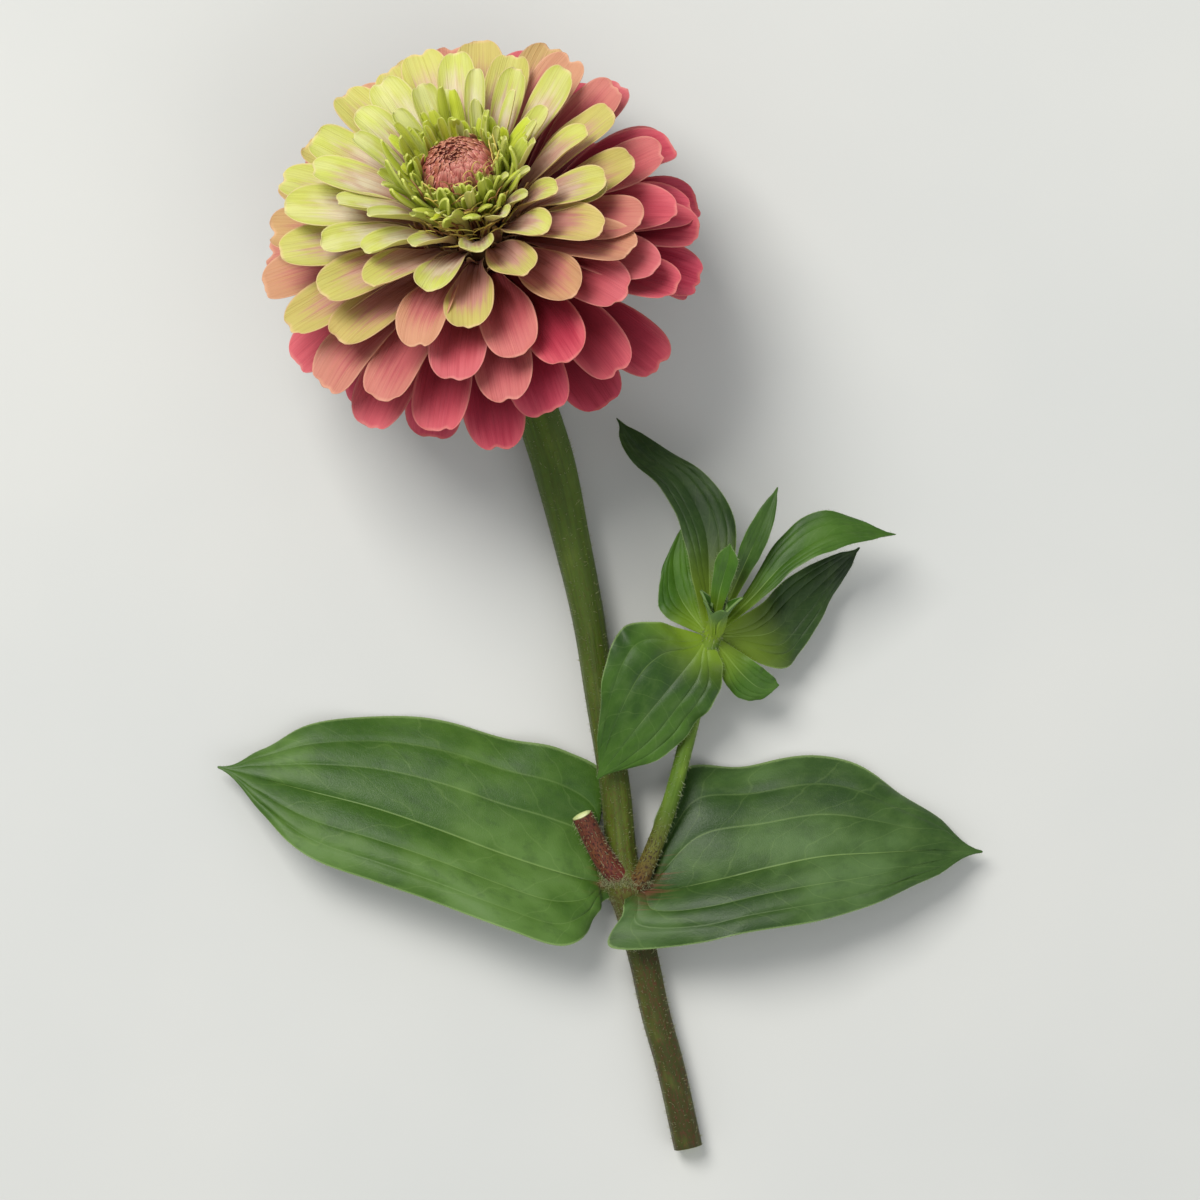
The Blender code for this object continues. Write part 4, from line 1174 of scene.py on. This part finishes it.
def disc_scales():
    """The disc: soft scale tips in spirals that lie in towards the hollow at its middle."""
    piece = Piece("disc_scales")
    random = np.random.default_rng(DISC_SEED)
    u, v = np.linspace(0, 1, 9), np.linspace(-1, 1, 5)
    outline = (0.9 + 0.4 * np.sin(math.pi * u)) * np.sqrt(1 - (0.97 * u) ** 3)
    for number in range(DISC_SCALES):
        share = math.sqrt((number + 0.5) / DISC_SCALES)
        radius = DISC_RADIUS * share
        turn = GOLDEN_ANGLE * number
        out, side = around(turn)
        swirl = SCALE_SWIRL * random.uniform(-0.4, 2.0)
        inward = side * math.sin(swirl) - out * math.cos(swirl)
        inward = unit(inward + random.normal(0, 0.16, 3) * (1, 1, 0))
        up = unit(UP + out * 0.3 * share + inward * SCALE_TILT * share * random.uniform(0.7, 1.2))
        inward = unit(inward - up * (inward @ up))
        length = SCALE_LENGTH * random.uniform(0.8, 1.2) * (0.72 + 0.34 * share)
        half = SCALE_WIDTH / 2 * (0.65 + 0.35 * share) * outline
        root = out * radius + UP * (np.interp(radius, *DISC_CROWN) - SCALE_SUNK)
        grid = tongue(root, inward, up, length, half, random.uniform(0.4, 0.95), 1.0, u, v)
        front = 0.5 - 0.5 * math.cos(turn) * share + random.uniform(-0.35, 0.35)
        add_blade(piece, from_head(grid), SCALE_SKIN, u, v, chance=random.uniform(0, 1), front=front)
    brown = ((0.0, 134, 64, 44), (0.4, 166, 90, 60), (0.75, 194, 118, 88), (1.0, 216, 154, 122))
    pink = ((0.0, 150, 70, 66), (0.4, 186, 100, 92), (0.75, 212, 130, 120), (1.0, 232, 168, 152))
    piece.make(scale_material("disc_scales", brown, 0.1, pink), "disc_scales", ["disc"])


def knobs():
    """The youngest petals: an uneven crowd of upright straps round the disc, and pale knobs at its edge."""
    piece = Piece("young_petals")
    random = np.random.default_rng(KNOB_SEED)
    u, v = eased(0, 1, 12), np.linspace(-1, 1, 9)
    outline = (0.6 + 0.55 * smooth(u / 0.85)) * (1 - (0.98 * u) ** 3.6) ** 0.5
    first_ring, seat = KNOB_SEAT
    for count, ring, long, wide, tone in KNOB_RINGS:
        for number in range(count):
            out, _ = around(2 * math.pi * (number + random.uniform(-0.45, 0.45)) / count)
            leaning = random.uniform(-0.05, 0.3) + KNOB_OUTWARD * (ring - first_ring)
            up = unit(UP + out * leaning + random.normal(0, 0.1, 3))
            facing = unit(out + random.normal(0, 0.22, 3))
            facing = unit(facing - up * (facing @ up))
            root = out * (ring + random.uniform(-0.3, 0.3)) + UP * (seat - KNOB_SLOPE * (ring - first_ring))
            half = wide / 2 * random.uniform(0.7, 1.15) * outline
            lean = random.choice((-1, 1)) * random.uniform(0.05, 0.6)
            length = long * random.uniform(0.7, 1.25)
            grid = tongue(root, facing, up, length, half, lean, -random.uniform(0.6, 1.3), u, v)
            chance = random.uniform(0, 1)
            add_blade(piece, from_head(grid), KNOB_SKIN, u, v, tone=tone + chance - 0.5, chance=chance)
    piece.make(petal_material("young_petals"), "petal_lime")


def involucre():
    """The cup under the petals, with its overlapping bracts."""
    piece = Piece("bracts")
    add_turned(piece, in_between(CUP_PROFILE, CUP_STEPS), chance=0.3)
    u, v = np.linspace(0, 1, 12), eased(-1, 1, 11)
    shares = np.interp(u, *zip(*BRACT_SHAPE))
    radii, heights = zip(*CUP_PROFILE)
    thickness = BRACT_THICKNESS * (1 - 0.5 * u[:, None] ** 3)
    for number in range(BRACTS):
        height = np.interp(number, (0, BRACTS - 1), BRACT_STARTS) + u * BRACT_LENGTH
        bulge = 0.5 * np.sin(math.pi * np.minimum(u * 1.1, 1))
        radius = np.interp(height, heights, radii) + 0.12 + BRACT_FLARE * u * u + bulge
        spread = BRACT_WIDTH / 2 * shares / radius
        turn = GOLDEN_ANGLE * number + spread[:, None] * v
        tuck = radius[:, None] - 0.55 * v**2 * (1 - 0.5 * u[:, None])
        lower = height[:, None] - 0.9 * u[:, None] ** 4 * v**2 * shares[:, None]
        grid = np.stack([tuck * np.cos(turn), tuck * np.sin(turn), lower], axis=-1)
        add_blade(piece, from_head(grid), thickness, u, v, chance=(number * 0.618) % 1)
    piece.make(bract_material("bracts"), "bract_green", ["involucre"])


def add_stalk(piece, path, sides, cut=True, **facts):
    """A ribbed stalk along (x, y, z, radius) points, with its last end cut clean across."""
    middle, radii = path[:, :3], path[:, 3]
    ahead, out = rings_along(middle, sides)
    turns = circle(sides)
    ribs = 1 + RIB_HEIGHT / radii[:, None] * np.cos(STEM_RIBS * turns + 0.4 * np.sin(3 * turns))
    rings = [*(middle[:, None] + out * (radii[:, None] * ribs)[..., None])]
    cut_rings = CUT_RINGS if cut else ()
    for share, stands in cut_rings:
        centre = middle[-1] + ahead[-1] * stands
        rings.append(centre + out[-1] * (radii[-1] * share) * ribs[-1][:, None])
    rows = len(rings)
    down = travelled(middle)
    down = np.append(down, [down[-1]] * len(cut_rings))
    depth = np.append(np.zeros(len(path)), [1.05 - share for share, _ in cut_rings])
    grain = np.stack([np.tile(turns * radii.mean(), rows), np.repeat(down, sides)], axis=-1) / GRAIN_MM
    along = np.minimum(np.arange(rows) / (len(path) - 1), 1)
    facts.update(along=np.repeat(along, sides), cut=np.repeat(depth, sides))
    add_rings(piece, np.array(rings), grain, **facts)
    return middle, out, radii, ahead


def scatter_hairs(piece, stalk, count, seed):
    """Hairs all over a stalk, leaning back along it a little."""
    middle, out, radii, ahead = stalk
    random = np.random.default_rng(seed)
    at = random.uniform(0, len(middle) - 1, count)
    low = at.astype(int)
    part = (at - low)[:, None]
    spin = out[low, random.integers(0, out.shape[1], count)]
    centre = middle[low] * (1 - part) + middle[low + 1] * part
    radius = radii[low][:, None] * (1 - part) + radii[low + 1][:, None] * part
    directions = spin + 0.35 * random.normal(0, 1, (count, 3)) - 0.3 * ahead[low]
    lengths = random.uniform(*HAIR_LENGTH, count)
    roots = centre + spin * radius
    tips = roots + unit(directions) * lengths[:, None]
    keep = (roots[:, 2] > HAIR_CLEAR["root"]) & (tips[:, 2] > HAIR_CLEAR["tip"])
    chances = random.uniform(0, 1, count)[keep]
    add_hairs(piece, roots[keep], directions[keep], lengths[keep], HAIR_RADIUS, chances)


def node_hairs(piece):
    """A ring of longer pale hairs where the leaves clasp the stem."""
    count, seed = NODE_HAIRS
    random = np.random.default_rng(seed)
    turn = random.uniform(0, math.pi, count)
    out = np.stack([np.cos(turn), np.zeros(count), np.sin(turn)], axis=-1)
    roots = NODE_RING + out * NODE_RING_RADIUS + random.normal(0, 0.55, (count, 3))
    directions = out + random.normal(0, 0.5, (count, 3))
    lengths = random.uniform(*NODE_HAIR_LENGTH, count)
    add_hairs(piece, roots, directions, lengths, HAIR_RADIUS * FINE_HAIR, random.uniform(0, 0.4, count))


def stems():
    """The stem with the stub of its side branch, and their hairs."""
    piece = Piece("stem_skin")
    neck = [(*from_head((0, 0, z)), radius) for z, radius in NECK]
    path = in_between([*neck, *STEM], STEM_STEPS)
    path[:, 3] += NODE_SWELL * hump(path[:, 1] - NODE_Y, NODE_LENGTH)
    stalk = add_stalk(piece, path, STEM_SIDES)
    path = in_between(STUB, TWIG_STEPS)
    red = np.append(np.linspace(1, 0.62, len(path)), [0.6] * len(CUT_RINGS))
    stub = add_stalk(piece, path, TWIG_SIDES, red=np.repeat(red, TWIG_SIDES))
    piece.make(stem_material("stem_skin"), "stem_green", ["stem"])
    hairs = Piece("stem_hairs")
    scatter_hairs(hairs, stalk, *STEM_HAIRS)
    scatter_hairs(hairs, stub, *STUB_HAIRS)
    node_hairs(hairs)
    hairs.make(hair_material("stem_hairs", (128, 134, 80), (190, 192, 150)), "stem_green")


def leaf_columns():
    """Places across a leaf, from margin to margin, close together at the veins and the margins."""
    half = {0.0, 0.018, 0.045, 0.11, 0.2, 0.3, 0.57, 0.64, 0.8, 0.88, 0.95, 0.985, 1.0}
    half |= {vein + near for vein in SIDE_VEINS for near in (-0.06, -0.02, 0, 0.02, 0.06)}
    half = np.array(sorted(half))
    return np.concatenate([-half[:0:-1], half])


def vein_places(u, edge):
    """How far from midrib to margin each column lies. The side veins start close to the midrib's foot."""
    places = []
    for at in u:
        opened = [start + (1 - start) * smooth(at / by) for start, by in zip(VEINS_START_AT, VEINS_OPEN_BY)]
        marks = [vein * share for vein, share in zip(SIDE_VEINS, opened)]
        places.append(np.interp(edge, (0.0, *SIDE_VEINS, 1.0), (0.0, *marks, 1.0)))
    return np.array(places)


def leaf_relief(u, v, wave, seed):
    """How far a leaf's surface stands out: sunk veins, quilting between them and waves along the margins."""
    edge = np.abs(v)
    veins = hump(edge, VEIN_WIDTH) + sum(0.45 * hump(edge - at, VEIN_WIDTH * 0.8) for at in SIDE_VEINS)
    marks = (0.0, *SIDE_VEINS, 1.0)
    quilt = sum(np.sin(math.pi * np.clip((edge - a) / (b - a), 0, 1)) for a, b in zip(marks, marks[1:]))
    right, left, middle = np.random.default_rng(seed).uniform(0, 1, 3)
    phase = np.where(v > 0, right, left)
    ripples = np.sin(2 * math.pi * (2.6 * u + phase)) + 0.5 * np.sin(2 * math.pi * (6.1 * u + 1.7 * phase))
    broad = np.sin(2 * math.pi * (3.4 * u + middle + 0.5 * v))
    relief = QUILT_HEIGHT * quilt * (0.8 + 0.4 * broad) - VEIN_DEPTH * veins + wave * ripples * edge**3
    return relief * smooth(u / 0.1) * smooth((1 - u) / 0.06)


def leaf_grid(stations, v, pillow, wave, seed):
    """A leaf's middle surface through its stations, and whether its normals point up."""
    rows = in_between(np.reshape(stations, (-1, 9)), LEAF_STEPS).reshape(-1, 3, 3)
    margin, rib, other = rows[:, 0], rows[:, 1], rows[:, 2]
    u = np.linspace(0, 1, len(rows))
    narrowing = 1 - (1 - POINT_SHARE) * smooth((u - POINT_FROM) / (1 - POINT_FROM))
    t = vein_places(u, np.abs(v)) * narrowing[:, None]
    outer = np.where(v[:, None] < 0, margin[:, None], other[:, None])
    size = np.minimum(np.linalg.norm(margin - other, axis=-1) / FULL_WIDTH, 1)[:, None]
    grid = rib[:, None] * (1 - t[..., None]) + outer * t[..., None]
    grid[..., 2] += 4 * pillow * size * t * (1 - t)
    normals = surface_normals(grid)
    upper = 1.0 if normals[..., 2].mean() > 0 else -1.0
    relief = leaf_relief(u[:, None], v, wave, seed) * size
    grid = grid + normals * (relief * upper)[..., None]
    grid[..., 2] = np.maximum(grid[..., 2], LEAF_SKIN / 2 + LEAF_CLEAR)
    return grid, u, upper


def margin_hairs(hairs, margin, inner, random):
    """Short hairs along one margin of a leaf, pointing away from the column inside it."""
    reach = travelled(margin)
    at = np.arange(0.5, reach[-1], MARGIN_HAIR_STEP)
    at = at + random.uniform(-0.2, 0.2, len(at))
    roots, out = (
        np.stack([np.interp(at, reach, values) for values in column.T], axis=-1)
        for column in (margin, unit(margin - inner))
    )
    out = out + random.normal(0, 0.35, out.shape)
    out[:, 2] = np.abs(out[:, 2])
    lengths = random.uniform(*MARGIN_HAIR_LENGTH, len(at))
    add_hairs(hairs, roots, out, lengths, HAIR_RADIUS * FINE_HAIR, random.uniform(0, 1, len(at)))


def add_leaf(piece, hairs, stations, pillow, wave, seed, **facts):
    """One leaf, and the short hairs along its margin."""
    v = leaf_columns()
    grid, u, upper = leaf_grid(stations, v, pillow, wave, seed)
    skin = LEAF_SKIN * (1 - 0.6 * np.abs(v) ** 6) + 0.5 * hump(v, 0.04) * (1 - u[:, None])
    add_blade(piece, grid, skin, u, v, upper, chance=(seed * 0.37) % 1, **facts)
    random = np.random.default_rng([seed, 1])
    for column, inner in ((0, 2), (-1, -3)):
        margin_hairs(hairs, grid[:, column], grid[:, inner], random)


def hub_leaves(piece):
    """The youngest leaves, crowded at the tip of the shoot."""
    random = np.random.default_rng(HUB_SEED)
    u, v = np.linspace(0, 1, 12), eased(-1, 1, 11)
    outline = (0.85 + 0.4 * np.sin(math.pi * u**0.9)) * (1 - (0.97 * u) ** 3)
    up = unit(np.array(HUB_UP))
    shortest, longest = HUB_LENGTH
    for number in range(HUB_LEAVES):
        out, _ = around(GOLDEN_ANGLE * number + random.uniform(-0.3, 0.3))
        out = unit(out - up * (out @ up))
        age = 1 - number / HUB_LEAVES
        length = shortest + (longest - shortest) * age
        grid = tongue(HUB + 0.9 * out, out, up, length, length * 0.2 * outline, 0.1 + 0.6 * age, 1.1, u, v)
        add_blade(piece, grid, HUB_SKIN, u, v, chance=random.uniform(0, 1), fresh=1.0, tender=1.6)


def leaves():
    """The pair of leaves at the node, and the leafy shoot from the right axil."""
    hairs = Piece("leaf_hairs")
    for number, (node, stations) in enumerate((("leaf_left", LEAF_LEFT), ("leaf_right", LEAF_RIGHT))):
        piece = Piece(node + "_blade")
        fresh = 0.75 - 0.65 * number
        add_leaf(piece, hairs, stations, LEAF_PILLOW, LEAF_WAVE, PAIR_SEED + number, fresh=fresh)
        piece.make(leaf_material(piece.name, *PAIR_COLOURS), "leaf_green", [node])
    shoot = Piece("shoot_leaves")
    for seed, (fresh, stations) in enumerate(SHOOT_LEAVES.values(), SHOOT_SEED):
        add_leaf(shoot, hairs, stations, SHOOT_PILLOW, SHOOT_WAVE, seed, fresh=fresh, tender=1.0)
    hub_leaves(shoot)
    shoot.make(leaf_material("shoot_leaves", *SHOOT_COLOURS), "shoot_green", ["side_shoot"])
    shoot_stem(hairs)
    hairs.make(hair_material("leaf_hairs", (112, 134, 76), (178, 190, 144)), "leaf_green")


def shoot_stem(hairs):
    """The shoot's own stem: red where it leaves the node, and tender at its tip."""
    twig = Piece("shoot_stem")
    path = in_between(SHOOT, TWIG_STEPS)
    reach = np.repeat(np.linspace(0, 1, len(path)), TWIG_SIDES)
    red, fresh, tender = 0.9 - 0.9 * smooth(reach / 0.4), smooth(reach / 0.5), smooth((reach - 0.85) / 0.1)
    stalk = add_stalk(twig, path, TWIG_SIDES, cut=False, red=red, fresh=fresh, tender=tender)
    twig.make(stem_material("shoot_stem"), "shoot_green")
    scatter_hairs(hairs, stalk, *TWIG_HAIRS)


def floor():
    """A plain pale floor."""
    mesh = bpy.data.meshes.new("floor")
    half = FLOOR_SIZE * MM / 2
    corners = [(-half, -half, 0), (half, -half, 0), (half, half, 0), (-half, half, 0)]
    mesh.from_pydata(corners, [], [(0, 1, 2, 3)])
    mesh.materials.append(floor_material("floor"))
    add_object("floor", mesh)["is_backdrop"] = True


def studio():
    """Soft square lights that face the flower, and an even grey surround."""
    for name, (place, size, power, colour) in LIGHTS.items():
        lamp = bpy.data.lights.new(name, "AREA")
        lamp.size = size
        lamp.energy = power
        lamp.color = colour
        made = add_object(name, lamp)
        made.location = place
        made.rotation_mode = "QUATERNION"
        made.rotation_quaternion = (-made.location).to_track_quat("-Z", "Y")
    world = bpy.data.worlds.new("surround")
    world.use_nodes = True
    background = world.node_tree.nodes["Background"]
    background.inputs["Color"].default_value = SURROUND_COLOUR
    background.inputs["Strength"].default_value = SURROUND_STRENGTH
    bpy.context.scene.world = world
    bpy.context.scene.view_settings.view_transform = "Standard"


def camera():
    """The camera looks straight down on the flower from afar."""
    lens = bpy.data.cameras.new("camera")
    lens.sensor_width = SENSOR
    lens.lens = SENSOR * (CAMERA_HEIGHT - HEAD_HEIGHT / 2) / VIEW_WIDTH
    lens.clip_start = 0.01
    lens.clip_end = 10.0
    made = add_object("camera", lens)
    made.location = (0, 0, CAMERA_HEIGHT * MM)
    bpy.context.scene.camera = made


def write_sizes():
    """Both boxes, the solids' and the dressed flower's, gathered in a table that nothing uses."""
    boxes = {"cad": CAD_BOX, "visual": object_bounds()}
    {name: [list(low), list(high)] for name, (low, high) in boxes.items()}


camera()
studio()
floor()
for group_name, group in PETAL_GROUPS.items():
    petals(group_name, *group)
head_core()
chaff()
styles()
disc_scales()
knobs()
involucre()
stems()
leaves()
write_sizes()
